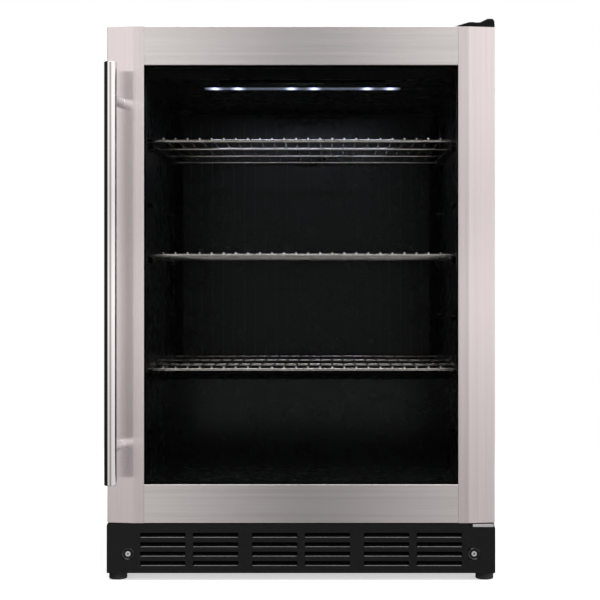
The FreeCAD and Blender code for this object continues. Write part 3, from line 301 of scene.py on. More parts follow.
# Turned stainless posts with a satin finish, coloured lighter than the door's stainless as painted light; a
# soft bright band along the top.
STEEL_SATIN_PAINTED_LIGHT = Finish("stainless_satin_turned", "F4F2F1", "FAF8F7", 0.40, 0.03, 1.0, 1.0, 0.0003)
# Chrome-plated mild steel wire: a mirror whose colour is darkened to a warm grey as painted shade, softened
# by a ripple.
WIRE_PAINTED_SHADE = Finish("wire_nickel_chrome", "8A817E", "9A918E", 0.18, 0.05, 1.0, 6.0, 0.004)
# The wires' front ends, over the front rod: a satin coloured near white, lighter than the wire, as a painted
# highlight.
WIRE_END_PAINTED_HIGHLIGHT = Finish("wire_end_satin", "E6E0DD", "EEE8E5", 0.55, 0.05, 1.0, 1.0, 0.001)
# Turned and zinc-plated steel of screws, pins and brackets: even, slightly blue grey.
ZINC_PART = Finish("steel_zinc_plated", "DADCDE", "E8EAEC", 0.30, 0.05, 1.0, 3.0, 0.001)
# Hot-dip zinc sheet of the base: crystals about 9 mm wide.
ZINC_SHEET = Spangled("sheet_hot_dip_zinc", "8E9295", "B2B6B9", 0.38, 0.08, 1.0, 9.0)
# Cold-rolled sheet with black powder paint: fine orange peel about 1.2 mm wide.
BLACK_PAINT = Finish("sheet_black_powder_paint", "0D0D0E", "151516", 0.40, 0.05, 0.0, 1.2, 0.02)
# ABS, moulded in a spark-eroded tool: a satin black with a very fine grain.
BLACK_ABS = Finish("abs_satin_black", "050506", "0A0A0B", 0.38, 0.06, 0.0, 0.7, 0.012,
                   settings=(("Specular IOR Level", 0.2),))
# ABS, moulded in a polished tool: a gloss black that waves slightly.
GLOSS_ABS = Finish("abs_gloss_black", "040405", "070708", 0.12, 0.03, 0.0, 14.0, 0.02,
                   settings=(("Specular IOR Level", 0.16),))
# The louvres' sills: a high gloss, and a mid grey, lighter than the grille's black, as a painted highlight.
SILL_PAINTED_HIGHLIGHT = Finish("abs_gloss_sill", "3A3A3B", "4A4A4B", 0.10, 0.03, 0.0, 6.0, 0.0, coat=1.0)
# The rims round the grille's screws, as moulded.
RIM_GLOSS = Finish("abs_gloss_rim", "0C0C0D", "131314", 0.14, 0.03, 0.0, 6.0, 0.0, coat=1.0)
# High-impact polystyrene sheet, vacuum-formed: gloss black with a slow wave.
LINER_BLACK = Finish("polystyrene_formed_black", "040405", "080809", 0.28, 0.05, 0.0, 22.0, 0.03,
                     settings=(("Specular IOR Level", 0.24),))
# Soft PVC of the door seal: dull black with a dusty bloom.
SEAL_BLACK = Finish("pvc_seal_black", "111112", "1C1C1D", 0.62, 0.08, 0.0, 3.0, 0.02)
# EPDM rubber of feet and grommets.
RUBBER_BLACK = Finish("rubber_epdm_black", "0F0F0F", "191919", 0.68, 0.08, 0.0, 1.0, 0.03)
# Natural nylon: a warm off-white that is a little translucent.
NYLON_NATURAL = Finish("nylon_natural", "D8D4C6", "E6E2D6", 0.42, 0.06, 0.0, 2.0, 0.005,
                       settings=(("Subsurface Weight", 0.15), ("Subsurface Scale", 0.004)))
# Black polycarbonate housing of the lamp.
LAMP_BLACK = Finish("polycarbonate_black", "0B0B0C", "121213", 0.35, 0.05, 0.0, 3.0, 0.004)
# Frosted acrylic over the diodes: dim and cool between them, white over each.
LAMP_GLOW = LitCover("acrylic_lit_cover", "8C93A6", "9AA1B4", 0.35, 0.05, 0.0, 12.0)
# White solder mask over a glass-fibre board.
BOARD_WHITE = Finish("board_white_mask", "C9CDCF", "D9DDDF", 0.35, 0.05, 0.0, 2.0, 0.01)
# Soft-annealed aluminium of fins and the evaporator: rolled lines and a dull shine.
ALUMINIUM = Finish("aluminium_rolled", "A9ACB0", "C2C5C9", 0.36, 0.07, 1.0, 0.8, 0.003, Grain.ALONG_X)
# Half-hard copper tube, drawn, with handling marks.
COPPER = Finish("copper_drawn_tube", "B06A45", "CB8259", 0.28, 0.10, 1.0, 6.0, 0.003)
# Compressor enamel: a thick gloss black over a pressed can.
ENAMEL_BLACK = Finish("enamel_compressor_black", "0A0A0B", "121213", 0.25, 0.07, 0.0, 4.0, 0.04, coat=0.3)
# Poured polyurethane foam.
FOAM = Finish("polyurethane_foam", "C9B67A", "DCCB93", 0.85, 0.05, 0.0, 1.5, 0.3)
# Low-iron float glass, 4 mm. Its coating lets each face mirror only 0.2%, so its index is set low.
GLASS = ClearSheet("glass_float_coated", "FAFDFC", "FAFDFC", 0.0, 0.004, 0.0, 160.0, ior=1.09)
# Smoked acrylic over the display.
SMOKED = Finish("acrylic_smoked", "050506", "080809", 0.06, 0.02, 0.0, 20.0, 0.0, coat=1.0)
# Unlit segments behind the smoked window.
SEGMENT_OFF = Finish("display_segment_unlit", "16181B", "1D2023", 0.4, 0.05, 0.0, 1.0)
# Printed pale grey marks on the buttons.
PRINT_GREY = Finish("ink_pale_grey", "8F9296", "A2A5A9", 0.5, 0.05, 0.0, 0.5)


# ---------------------------------------------------------------- making pieces


def add_object(name: str, data: Any) -> Object:
    """Put a new object into the scene.

    Args:
        name: the object's name.
        data: its mesh, camera or light.

    Returns:
        The object.
    """
    made = bpy.data.objects.new(name, data)
    bpy.context.scene.collection.objects.link(made)
    return made


def finish_mesh(name: str, shape: BMesh, finish: Finish, body: str, replaces: Iterable[str] = ()) -> Object:
    """Turn a bmesh into a named piece that rides on a body.

    Args:
        name: the piece's name.
        shape: its mesh in the row frame, freed here.
        finish: its finish.
        body: the body it rides on.
        replaces: CAD nodes that it stands for.

    Returns:
        The piece's object.
    """
    bmesh.ops.remove_doubles(shape, verts=shape.verts, dist=1e-6)
    bmesh.ops.recalc_face_normals(shape, faces=shape.faces)
    for edge in shape.edges:
        edge.smooth = not edge.is_boundary and edge.calc_face_angle(math.pi) < FACET_ANGLE
    for face in shape.faces:
        face.smooth = True
    mesh = bpy.data.meshes.new(name)
    shape.to_mesh(mesh)
    shape.free()
    mesh.materials.append(finish.material())
    piece = add_object(name, mesh)
    even_out(piece)
    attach(piece, body)
    if replaces:
        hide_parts(*replaces)
    log.info("%s: %d faces on %s", name, len(mesh.polygons), body)
    return piece


def even_out(piece: Object) -> None:
    """Keep flats flat next to small roundings, by weighting the shading towards large faces.

    Args:
        piece: the object.
    """
    weighting = piece.modifiers.new("flats", "WEIGHTED_NORMAL")
    weighting.mode = "FACE_AREA"
    weighting.weight = 100
    weighting.keep_sharp = True


def join(*shapes: BMesh) -> BMesh:
    """Put several meshes into the first one and return it.

    Args:
        shapes: the meshes; all but the first are freed.

    Returns:
        The first mesh, with the others' faces added.
    """
    whole = shapes[0]
    for other in shapes[1:]:
        carrier = bpy.data.meshes.new("carrier")
        other.to_mesh(carrier)
        other.free()
        whole.from_mesh(carrier)
        bpy.data.meshes.remove(carrier)
    return whole


def round_edges(shape: BMesh, edges: Iterable[BMEdge], offset: float, steps: int) -> None:
    """Round some edges of a mesh by an offset, in a number of steps."""
    bmesh.ops.bevel(shape, geom=list(edges), offset=offset, segments=steps, profile=0.5, affect="EDGES",
                    material=-1)


def chain(shape: BMesh, points: Iterable[Point]) -> tuple[list[BMVert], list[BMEdge]]:
    """Add points to a mesh with an edge from each to the next, and return both."""
    corners = [shape.verts.new(point) for point in points]
    return corners, [shape.edges.new(pair) for pair in zip(corners, corners[1:])]


def slice_up(shape: BMesh, point: Point, normal: Point) -> None:
    """Cut a mesh's faces along the plane through a point."""
    bmesh.ops.bisect_plane(shape, geom=[*shape.verts, *shape.edges, *shape.faces], plane_co=point,
                           plane_no=normal, dist=1e-7)


def deepen(shape: BMesh, depth: float) -> None:
    """Turn a flat front into a closed solid.

    Args:
        shape: the mesh of the front.
        depth: thickness, towards the back.
    """
    grown = bmesh.ops.extrude_face_region(shape, geom=list(shape.faces), use_keep_orig=True)["geom"]
    moved = [item for item in grown if isinstance(item, BMVert)]
    bmesh.ops.translate(shape, verts=moved, vec=(0, depth, 0))
    bmesh.ops.recalc_face_normals(shape, faces=shape.faces)


def block(low: Point, high: Point, edge: float = 0.0, steps: int = 3) -> BMesh:
    """Make a box with rounded edges.

    Args:
        low: lowest corner.
        high: highest corner.
        edge: rounding of its edges.
        steps: segments of the rounding.

    Returns:
        The box's mesh.
    """
    low, high = Vector(low), Vector(high)
    shape = bmesh.new()
    place = Matrix.Translation((low + high) / 2) @ Matrix.Diagonal((*(high - low), 1))
    bmesh.ops.create_cube(shape, size=1, matrix=place)
    if edge:
        round_edges(shape, shape.edges, edge, steps)
    return shape


def turned(profile: Pairs, place: Matrix, steps: int = 48) -> BMesh:
    """Spin a profile about its own Z axis.

    Args:
        profile: (radius, height) corners from one end to the other.
        place: where its axis and base stand.
        steps: segments of the turn.

    Returns:
        The turned mesh, closed where the profile starts or ends on the axis.
    """
    shape = bmesh.new()
    corners, edges = chain(shape, [(radius, 0, height) for radius, height in profile])
    bmesh.ops.spin(shape, geom=[*corners, *edges], cent=(0, 0, 0), axis=(0, 0, 1), angle=2 * math.pi,
                   steps=steps, use_merge=True)
    bmesh.ops.remove_doubles(shape, verts=shape.verts, dist=1e-6)
    bmesh.ops.transform(shape, matrix=place, verts=shape.verts)
    return shape


def rounded_rod(radius: float, length: float, place: Matrix, edge: float, steps: int) -> BMesh:
    """Make a rod with rounded ends along its own Z axis.

    Args:
        radius: the rod's radius.
        length: its length.
        place: where its axis and base stand.
        edge: rounding of both ends.
        steps: segments round it.

    Returns:
        The rod's mesh.
    """
    arc = [(radius - edge + edge * math.sin(turn), edge - edge * math.cos(turn))
           for turn in (0, math.pi / 6, math.pi / 3, math.pi / 2)]
    far = [(across, length - up) for across, up in reversed(arc)]
    return turned([(0, 0), *arc, *far, (0, length)], place, steps)


def axis_at(origin: Point, along: Point) -> Matrix:
    """Return the place whose Z axis runs along a direction from an origin."""
    return Matrix.Translation(Vector(origin)) @ Vector(along).to_track_quat("Z", "Y").to_matrix().to_4x4()


def folded_sheet(path: Sequence[Point], travel: Point, fold: float) -> BMesh:
    """Make an open folded sheet, before it gets its thickness.

    Args:
        path: corners across the folds, in order.
        travel: the way and length of the folds.
        fold: radius of every fold.

    Returns:
        The sheet's middle surface.
    """
    shape = bmesh.new()
    grown = bmesh.ops.extrude_edge_only(shape, edges=chain(shape, path)[1])["geom"]
    moved = [item for item in grown if isinstance(item, BMVert)]
    bmesh.ops.translate(shape, verts=moved, vec=Vector(travel))
    folds = [edge for edge in shape.edges if len(edge.link_faces) == 2]
    round_edges(shape, folds, fold, 5)
    return shape


def thicken(piece: Object, gauge: float, offset: float, edge: float = 0.00015) -> None:
    """Give a sheet its thickness and break its cut edges.

    Args:
        piece: the sheet's object.
        gauge: its thickness.
        offset: 1 grows it along its normals, -1 against them.
        edge: rounding of the cut edges.
    """
    wall = piece.modifiers.new("wall", "SOLIDIFY")
    wall.thickness = gauge
    wall.offset = offset
    wall.use_even_offset = True
    soften(piece, edge)


def soften(piece: Object, edge: float) -> None:
    """Round a piece's sharp edges with a live bevel.

    Args:
        piece: the object.
        edge: the rounding.
    """
    bevel = piece.modifiers.new("edges", "BEVEL")
    bevel.width = edge
    bevel.segments = 2
    bevel.limit_method = "ANGLE"
    bevel.angle_limit = FACET_ANGLE
    piece.modifiers.remove(piece.modifiers["flats"])
    even_out(piece)


def pierced_plate(xs: Point, zs: Point, y: float, depth: float, holes: Sequence[Hole]) -> BMesh:
    """Make an upright plate facing the front, with rectangular holes.

    Args:
        xs: left and right edges.
        zs: lower and upper edges.
        y: depth of the front face.
        depth: thickness, towards the back.
        holes: the holes.

    Returns:
        The plate's closed mesh.
    """
    shape = bmesh.new()
    place = Matrix.Translation(((xs[0] + xs[1]) / 2, y, (zs[0] + zs[1]) / 2))
    stretch = Matrix.Diagonal((xs[1] - xs[0], 1, zs[1] - zs[0], 1)) @ Matrix.Rotation(math.pi / 2, 4, "X")
    bmesh.ops.create_grid(shape, x_segments=1, y_segments=1, size=0.5, matrix=place @ stretch)
    for across in sorted({edge for hole in holes for edge in hole[:2]}):
        slice_up(shape, (across, y, 0), (1, 0, 0))
    for level in sorted({edge for hole in holes for edge in hole[2:]}):
        slice_up(shape, (0, y, level), (0, 0, 1))
    cut = []
    for face in shape.faces:
        middle = face.calc_center_median()
        if any(hole[0] < middle.x < hole[1] and hole[2] < middle.z < hole[3] for hole in holes):
            cut.append(face)
    bmesh.ops.delete(shape, geom=cut, context="FACES")
    deepen(shape, depth)
    return shape


def dress(finish: Finish, *nodes: str) -> None:
    """Give carried-over CAD nodes a finish.

    Args:
        finish: the finish.
        nodes: names of the nodes.
    """
    for node in nodes:
        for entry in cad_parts[node].material_slots:
            entry.material = finish.material()
        log.info("%s wears %s", node, finish.name)


def screw_head(centre: Point, out: Point, radius: float, rise: float) -> BMesh:
    """Make a domed screw head.

    Args:
        centre: middle of the seat.
        out: the way the head faces.
        radius: radius of the head.
        rise: height of the dome.

    Returns:
        The head's mesh.
    """
    dome = [(radius * math.cos(turn), rise * (0.35 + 0.65 * math.sin(turn)))
            for turn in (0, math.pi / 8, math.pi / 4, math.pi * 3 / 8)]
    profile = [(0, 0), (radius, 0), *dome, (radius * 0.2, rise), (0, rise)]
    return turned(profile, axis_at(centre, out), 24)


def recess_shade_cross(centre: Point, out: Point, radius: float, lift: float) -> BMesh:
    """Paint the shade in a screw's cross recess as two thin dark crossed bars.

    Args:
        centre: middle of the seat.
        out: the way the head faces.
        radius: reach of the cross.
        lift: height of the bars above the seat.

    Returns:
        The cross's mesh.
    """
    bars = []
    for across, along in ((1.0, 0.26), (0.26, 1.0)):
        reach = (radius * across, radius * along)
        bars.append(block((-reach[0], -reach[1], lift - 0.0003), (*reach, lift), 0.00008, 1))
        bmesh.ops.transform(bars[-1], matrix=axis_at(centre, out), verts=bars[-1].verts)
    return join(*bars)


def screw_row(names: tuple[str, str], seats: Sequence[Point], out: Point, head: Point, cross: Point) -> None:
    """Build screws of one kind as two pieces: their heads and the dark crosses on them, painted shade for
    their recesses.

    Args:
        names: names of the two pieces.
        seats: middle of every screw's seat.
        out: the way the heads face.
        head: radius and rise of the heads.
        cross: reach and lift of the crosses.
    """
    heads = [screw_head(seat, out, *head) for seat in seats]
    shade_crosses = [recess_shade_cross(seat, out, *cross) for seat in seats]
    finish_mesh(names[0], join(*heads), ZINC_PART, "cabinet")
    # The crosses wear the black plastic as painted shade in the screws' recesses.
    finish_mesh(names[1], join(*shade_crosses), BLACK_ABS, "cabinet")


# ---------------------------------------------------------------- sub-assemblies


@dataclass
class Door:
    """The stainless door: folded stiles and rails, double glass, seal and bushes."""

    gauge: float = 1.0 * MM
    fold: float = 0.8 * MM
    flat: float = 16.0 * MM
    drop: float = 6.5 * MM
    lip: float = 2.5 * MM
    rail_height: float = 59 * MM
    seal_width: float = 18 * MM
    bellows: Pairs = (
        (0.06, 0.0), (0.06, 0.22), (0.20, 0.34), (0.12, 0.48), (0.22, 0.62), (0.16, 0.80), (0.30, 0.97),
        (0.50, 1.0), (0.70, 0.97), (0.84, 0.80), (0.78, 0.62), (0.88, 0.48), (0.80, 0.34), (0.94, 0.22),
        (0.94, 0.0))

    def build(self) -> None:
        """Build and dress every piece of the door."""
        self.stiles()
        self.rails()
        self.seal()
        dress(BLACK_ABS, "door_end_caps", "door_inner_frame")
        dress(GLASS, "door_glass")
        dress(ALUMINIUM, "glass_spacer")
        dress(NYLON_NATURAL, "door_bushes")
        dress(ZINC_PART, "handle_screws")

    def stiles(self) -> None:
        """Fold the two upright channels, whose outer faces fall back from the front plane."""
        for node, side in (("door_stile_left", 1), ("door_stile_right", -1)):
            low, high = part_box(node)
            outer, inner = (low.x, high.x) if side > 0 else (high.x, low.x)
            path = [(outer, high.y, low.z), (outer, low.y + self.drop, low.z),
                    (inner - side * self.flat, low.y, low.z), (inner, low.y, low.z),
                    (inner, low.y + self.lip, low.z)]
            shape = folded_sheet(path, (0, 0, high.z - low.z), self.fold)
            # The stiles wear the lighter, pinker copy of the stainless: painted light.
            piece = finish_mesh("stile_" + node.rsplit("_", 1)[1], shape, STEEL_UPRIGHT_PAINTED_LIGHT, "door", [node])
            self.wall(piece, Vector((low.x + high.x, low.y + high.y + self.drop, low.z + high.z)) / 2)

    def rails(self) -> None:
        """Fold the upper and the lower rail between the stiles."""
        low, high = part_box("door_rails")
        for name, edge, way in (("rail_upper", high.z, -1), ("rail_lower", low.z, 1)):
            inner = edge + way * self.rail_height
            path = [(low.x, high.y, edge), (low.x, low.y, edge), (low.x, low.y, inner),
                    (low.x, low.y + self.lip, inner)]
            shape = folded_sheet(path, (high.x - low.x, 0, 0), self.fold)
            # The rails wear the darker, cooler copy of the stainless: painted shade.
            piece = finish_mesh(name, shape, STEEL_LEVEL_PAINTED_SHADE, "door", ["door_rails"] if way < 0 else [])
            self.wall(piece, Vector((0, (low.y + high.y) / 2, edge + way * self.rail_height / 2)))

    def wall(self, piece: Object, inside: Vector) -> None:
        """Thicken a folded sheet towards the inside of the door.

        Args:
            piece: the sheet.
            inside: a point behind its face.
        """
        face = max(piece.data.polygons, key=lambda item: item.area)
        towards = (inside - face.center).dot(face.normal)
        thicken(piece, self.gauge, 1.0 if towards > 0 else -1.0)

    def seal(self) -> None:
        """Draw the seal's bellows section round the back of the door."""
        low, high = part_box("door_gasket")
        middle = (low + high) / 2
        half = (high - low) / 2
        shape = bmesh.new()
        around = ((-1, -1), (1, -1), (1, 1), (-1, 1))
        start = [shape.verts.new((middle.x + across * half.x, low.y, middle.z + up * half.z))
                 for across, up in around]
        ring = [shape.edges.new((start[index], start[(index + 1) % 4])) for index in range(4)]
        for index, (inset, reach) in enumerate(self.bellows):
            if index:
                grown = bmesh.ops.extrude_edge_only(shape, edges=ring)["geom"]
                ring = [item for item in grown if isinstance(item, BMEdge)]
                start = [item for item in grown if isinstance(item, BMVert)]
            for corner in start:
                across = 1 if corner.co.x > middle.x else -1
                up = 1 if corner.co.z > middle.z else -1
                corner.co = (middle.x + across * (half.x - inset * self.seal_width),
                             low.y + reach * (high.y - low.y),
                             middle.z + up * (half.z - inset * self.seal_width))
        finish_mesh("door_seal", shape, SEAL_BLACK, "door", ["door_gasket"])


@dataclass
class Handle:
    """The tubular handle on its two posts.

    The groove near each post's foot is given by (depth, way from the foot) of its corners, in mm.
    """

    post_radius: float = 7.5 * MM
    slope: float = math.atan2(6.5, 41)
    groove: Pairs = ((0, 2.4), (0.35, 2.1), (0.35, 1.7), (0, 1.4), (0, 0.2))

    def build(self) -> None:
        """Build the bar and the posts."""
        low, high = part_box("handle_bar")
        radius = (high.x - low.x) / 2
        middle = (low + high) / 2
        place = Matrix.Translation((middle.x, middle.y, low.z))
        bar = rounded_rod(radius, high.z - low.z, place, 1.2 * MM, 96)
        finish_mesh("handle_tube", bar, STEEL_TUBE, "door", ["handle_bar"])
        post_low, post_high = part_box("handle_posts")
        towards = Vector((math.sin(self.slope), math.cos(self.slope), 0))
        length = (post_high.y - middle.y) / math.cos(self.slope)
        posts = []
        for level in (post_low.z + self.post_radius, post_high.z - self.post_radius):
            foot = [(self.post_radius - inset * MM, length - up * MM) for inset, up in self.groove]
            section = [(0, 0), (self.post_radius, 0), *foot, (0, length)]
            posts.append(turned(section, axis_at((middle.x, middle.y, level), towards), 64))
        # The posts wear a lighter copy of the stainless: painted light.
        finish_mesh("handle_stand_offs", join(*posts), STEEL_SATIN_PAINTED_LIGHT, "door", ["handle_posts"])


@dataclass
class ToeKick:
    """The moulded grille under the door, with its louvres and screws."""

    wall: float = 3.0 * MM
    slot: tuple[float, float] = (69.5 * MM, 7.5 * MM)
    pitch: float = 14.4 * MM
    gap: float = 11.2 * MM
    pair_gap: float = 21.0 * MM
    base: float = 11.0 * MM
    screw: tuple[float, float] = (265 * MM, 29.5 * MM)
    dimple: float = 9.0 * MM
    seat: float = 1.6 * MM
    bead: float = 0.7 * MM
    slot_corner: float = 1.6 * MM
    edge: float = 0.6 * MM
    lip: float = 0.8 * MM

    def holes(self, low: Vector) -> list[Hole]:
        """Lay out the louvre slots.

        Args:
            low: the grille's lowest corner.

        Returns:
            (left, right, base, top) of every slot.
        """
        width, height = self.slot
        pair = 2 * width + self.gap + self.pair_gap
        found = []
        for line in range(4):
            base = low.z + self.base + line * self.pitch
            for column in (-1, 0, 1):
                left = column * pair - width - self.gap / 2
                for start in (left, left + width + self.gap):
                    found.append((start, start + width, base, base + height))
        return found

    def at_screws(self, low: Vector, depth: float) -> list[tuple[float, float, float]]:
        """Return a point at each screw, at a depth behind the grille's face."""
        return [(side * self.screw[0], low.y + depth, low.z + self.screw[1]) for side in (-1, 1)]

    def build(self) -> None:
        """Build the grille, its vanes and its screws."""
        low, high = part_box("toe_kick")
        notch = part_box("bottom_hinge_bracket")
        holes = self.holes(low)
        dimples = [(x - self.dimple, x + self.dimple, z - self.dimple, z + self.dimple)
                   for x, _, z in self.at_screws(low, 0)]
        corner = (notch[0].x - 1 * MM, high.x + 1, notch[1].z - 4.8 * MM, high.z + 1)
        front = pierced_plate((low.x, high.x), (low.z, high.z), low.y, self.wall, [*holes, *dimples, corner])
        round_edges(front, self.uprights(front, True), self.dimple * 0.98, 8)
        round_edges(front, self.uprights(front, False), self.slot_corner, 4)
        face = finish_mesh("toe_kick_face", front, BLACK_ABS, "cabinet", ["toe_kick"])
        soften(face, 0.5 * MM)
        self.shell(low, high, notch)
        self.vanes(low, holes)
        screw_row(("toe_kick_screw_heads", "toe_kick_screw_slots"), self.at_screws(low, self.seat),
                  (0, -1, 0), (4 * MM, 1.3 * MM), (2.1 * MM, 1.42 * MM))
        dress(ZINC_PART, "toe_kick_screws")

    def uprights(self, shape: BMesh, at_screws: bool) -> list[BMEdge]:
        """Find the edges that run from the front to the back of the plate.

        Args:
            shape: the plate.
            at_screws: whether they are those of the screws' dimples or all the others.

        Returns:
            The corners' edges.
        """
        chosen = []
        for edge in shape.edges:
            first, second = edge.verts
            if abs(first.co.y - second.co.y) < self.wall / 2 or edge.calc_face_angle(0) < 1:
                continue
            near = abs(abs(first.co.x) - self.screw[0]) < self.dimple * 1.01
            if near == at_screws:
                chosen.append(edge)
        return chosen

    def shell(self, low: Vector, high: Vector, notch: tuple[Vector, Vector]) -> None:
        """Build the grille's returns behind its face, cut round the hinge.

        Args:
            low: the grille's lowest corner.
            high: its highest corner.
            notch: corners of the hinge bracket it is cut round.
        """
        wall = self.wall
        front = low.y + wall - 0.5 * MM
        parts = [
            block((low.x, front, low.z), (low.x + wall, high.y, high.z), self.edge),
            block((high.x - wall, front, low.z), (high.x, high.y, notch[1].z - 5 * MM), self.edge),
            block((low.x, front, high.z - wall), (notch[0].x - 1.2 * MM, high.y, high.z), self.edge),
        ]
        end = high.y - low.y - 2 * MM
        cup = [(0, 0), (self.dimple, 0), (self.dimple + 0.2 * MM, 1.2 * MM), (8 * MM, 2.2 * MM),
               (7 * MM, 4 * MM), (7 * MM, end), (0, end)]
        parts += [turned(cup, axis_at(centre, (0, 1, 0)), 40) for centre in self.at_screws(low, self.seat)]
        finish_mesh("toe_kick_returns", join(*parts), BLACK_ABS, "cabinet")
        loop = [(self.dimple - 0.6 * MM + self.bead * math.cos(turn), self.bead * math.sin(turn))
                for turn in (index * math.pi / 5 for index in range(11))]
        rims = [turned(loop, axis_at(centre, (0, 1, 0)), 48) for centre in self.at_screws(low, 0.9 * MM)]
        finish_mesh("toe_kick_dimple_rims", join(*rims), RIM_GLOSS, "cabinet")

    def vanes(self, low: Vector, holes: Sequence[Hole]) -> None:
        """Build the sloping vane behind each slot and the small gloss lip at its sill, coloured grey as a
        painted highlight.

        Args:
            low: the grille's lowest corner.
            holes: (left, right, base, top) of every slot.
        """
        shapes = []
        lips = []
        for left, right, base, top in holes:
            place = axis_at((left + self.lip, low.y + 0.85 * MM, base + 0.25 * MM), (1, 0, 0))
            lips.append(rounded_rod(self.lip, right - left - 2 * self.lip, place, 0.5 * MM, 16))
            slope = ((0.2, base - 0.7 * MM), (1.2, base + 0.3 * MM), (12, top + 0.8 * MM))
            path = [(left - 1 * MM, low.y + behind * MM, level) for behind, level in slope]
            shapes.append(folded_sheet(path, (right - left + 2 * MM, 0, 0), 0.5 * MM))
        # The sill lips are coloured grey as a painted highlight.
        finish_mesh("toe_kick_lips", join(*lips), SILL_PAINTED_HIGHLIGHT, "cabinet")
        vanes = finish_mesh("toe_kick_vanes", join(*shapes), BLACK_ABS, "cabinet")
        thicken(vanes, 1.2 * MM, 0, 0.3 * MM)


@dataclass
class Hinges:
    """The top and bottom hinge brackets with their pins, screws and cover.

    The cover's outline has x from its left end in mm and its height as a share of the full one.
    """

    outline: Pairs = (
        (0, 0), (23, 0.56), (28, 0.60), (34, 0.53), (40, 0.56), (51, 1.0), (59, 1.0), (62, 0.62), (62, 0))

    def build(self) -> None:
        """Dress the brackets and build the moulded cover."""
        dress(ZINC_PART, "top_hinge_bracket", "bottom_hinge_bracket", "hinge_pins", "hinge_screws")
        self.cover()

    def cover(self) -> None:
        """Build the gloss cover: a low left shoulder that rises to the right over the pin."""
        low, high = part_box("top_hinge_cover")
        shape = bmesh.new()
        shape.faces.new([shape.verts.new((low.x + across * MM, low.y, low.z + up * (high.z - low.z)))
                         for across, up in self.outline])
        deepen(shape, high.y - low.y)
        rims = [edge for edge in shape.edges
                if min(vert.co.z for vert in edge.verts) > low.z + 0.1 * MM and edge.calc_face_angle(0) > 0.1]
        round_edges(shape, rims, 1.6 * MM, 4)
        finish_mesh("hinge_cover", shape, GLOSS_ABS, "cabinet", ["top_hinge_cover"])
        centre = (high.x - 8 * MM, low.y + 23 * MM, high.z - 0.9 * MM)
        head = screw_head(centre, (0, 0, 1), 3.2 * MM, 0.8 * MM)
        finish_mesh("hinge_cover_screw", head, ZINC_PART, "cabinet")


@dataclass
class Shelves:
    """Three plated wire shelves with their rails and pegs."""

    wires: int = 24
    pitch: float = 19.1 * MM
    wire: float = 1.4 * MM
    rod: float = 2.5 * MM
    end: float = 3.0 * MM
    lap: float = 0.4 * MM

    def build(self) -> None:
        """Build each shelf on its own body and dress what carries it."""
        self.shelf("shelf_top", "upper_shelf")
        self.shelf("shelf_middle", "centre_shelf")
        self.shelf("shelf_bottom", "lower_shelf")
        dress(LINER_BLACK, "support_pegs", "shelf_rails")

    def shelf(self, node: str, body: str) -> None:
        """Build one shelf: cross rods, and wires laid over them, whose front ends are coloured bright as a
        painted highlight.

        Args:
            node: the CAD shelf.
            body: the body it rides on.
        """
        low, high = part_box(node)
        rods = []
        for index in range(4):
            y = low.y + self.rod + index * (high.y - low.y - 2 * self.rod) / 3
            place = axis_at((low.x, y, low.z + self.rod), (1, 0, 0))
            rods.append(rounded_rod(self.rod, high.x - low.x, place, 0.8 * MM, 20))
        # Rods and wires wear the chrome darkened as painted shade.
        finish_mesh(body + "_rods", join(*rods), WIRE_PAINTED_SHADE, body, [node])
        wires = []
        ends = []
        for index in range(self.wires):
            x = (index - (self.wires - 1) / 2) * self.pitch
            level = high.z - self.wire
            place = axis_at((x, low.y, level), (0, 1, 0))
            ends.append(rounded_rod(self.wire, self.end, place, 1.1 * MM, 16))
            place = axis_at((x, low.y + self.end - self.lap, level), (0, 1, 0))
            length = high.y - low.y - self.end + self.lap
            wires.append(rounded_rod(self.wire * 0.98, length, place, 0.7 * MM, 14))
        finish_mesh(body + "_wires", join(*wires), WIRE_PAINTED_SHADE, body)
        # The wire ends are coloured bright as a painted highlight.
        finish_mesh(body + "_wire_ends", join(*ends), WIRE_END_PAINTED_HIGHLIGHT, body)


@dataclass
class Lamp:
    """The ceiling lamp: a slim channel, a board with six diodes and a frosted cover."""

    def build(self) -> None:
        """Dress the channel and the board, and build the lit cover."""
        dress(LAMP_BLACK, "lamp_housing")
        dress(BOARD_WHITE, "lamp_board")
        cover = block(*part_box("lamp_lens"), 0.4 * MM)
        finish_mesh("lamp_cover", cover, LAMP_GLOW, "cabinet", ["lamp_lens"])


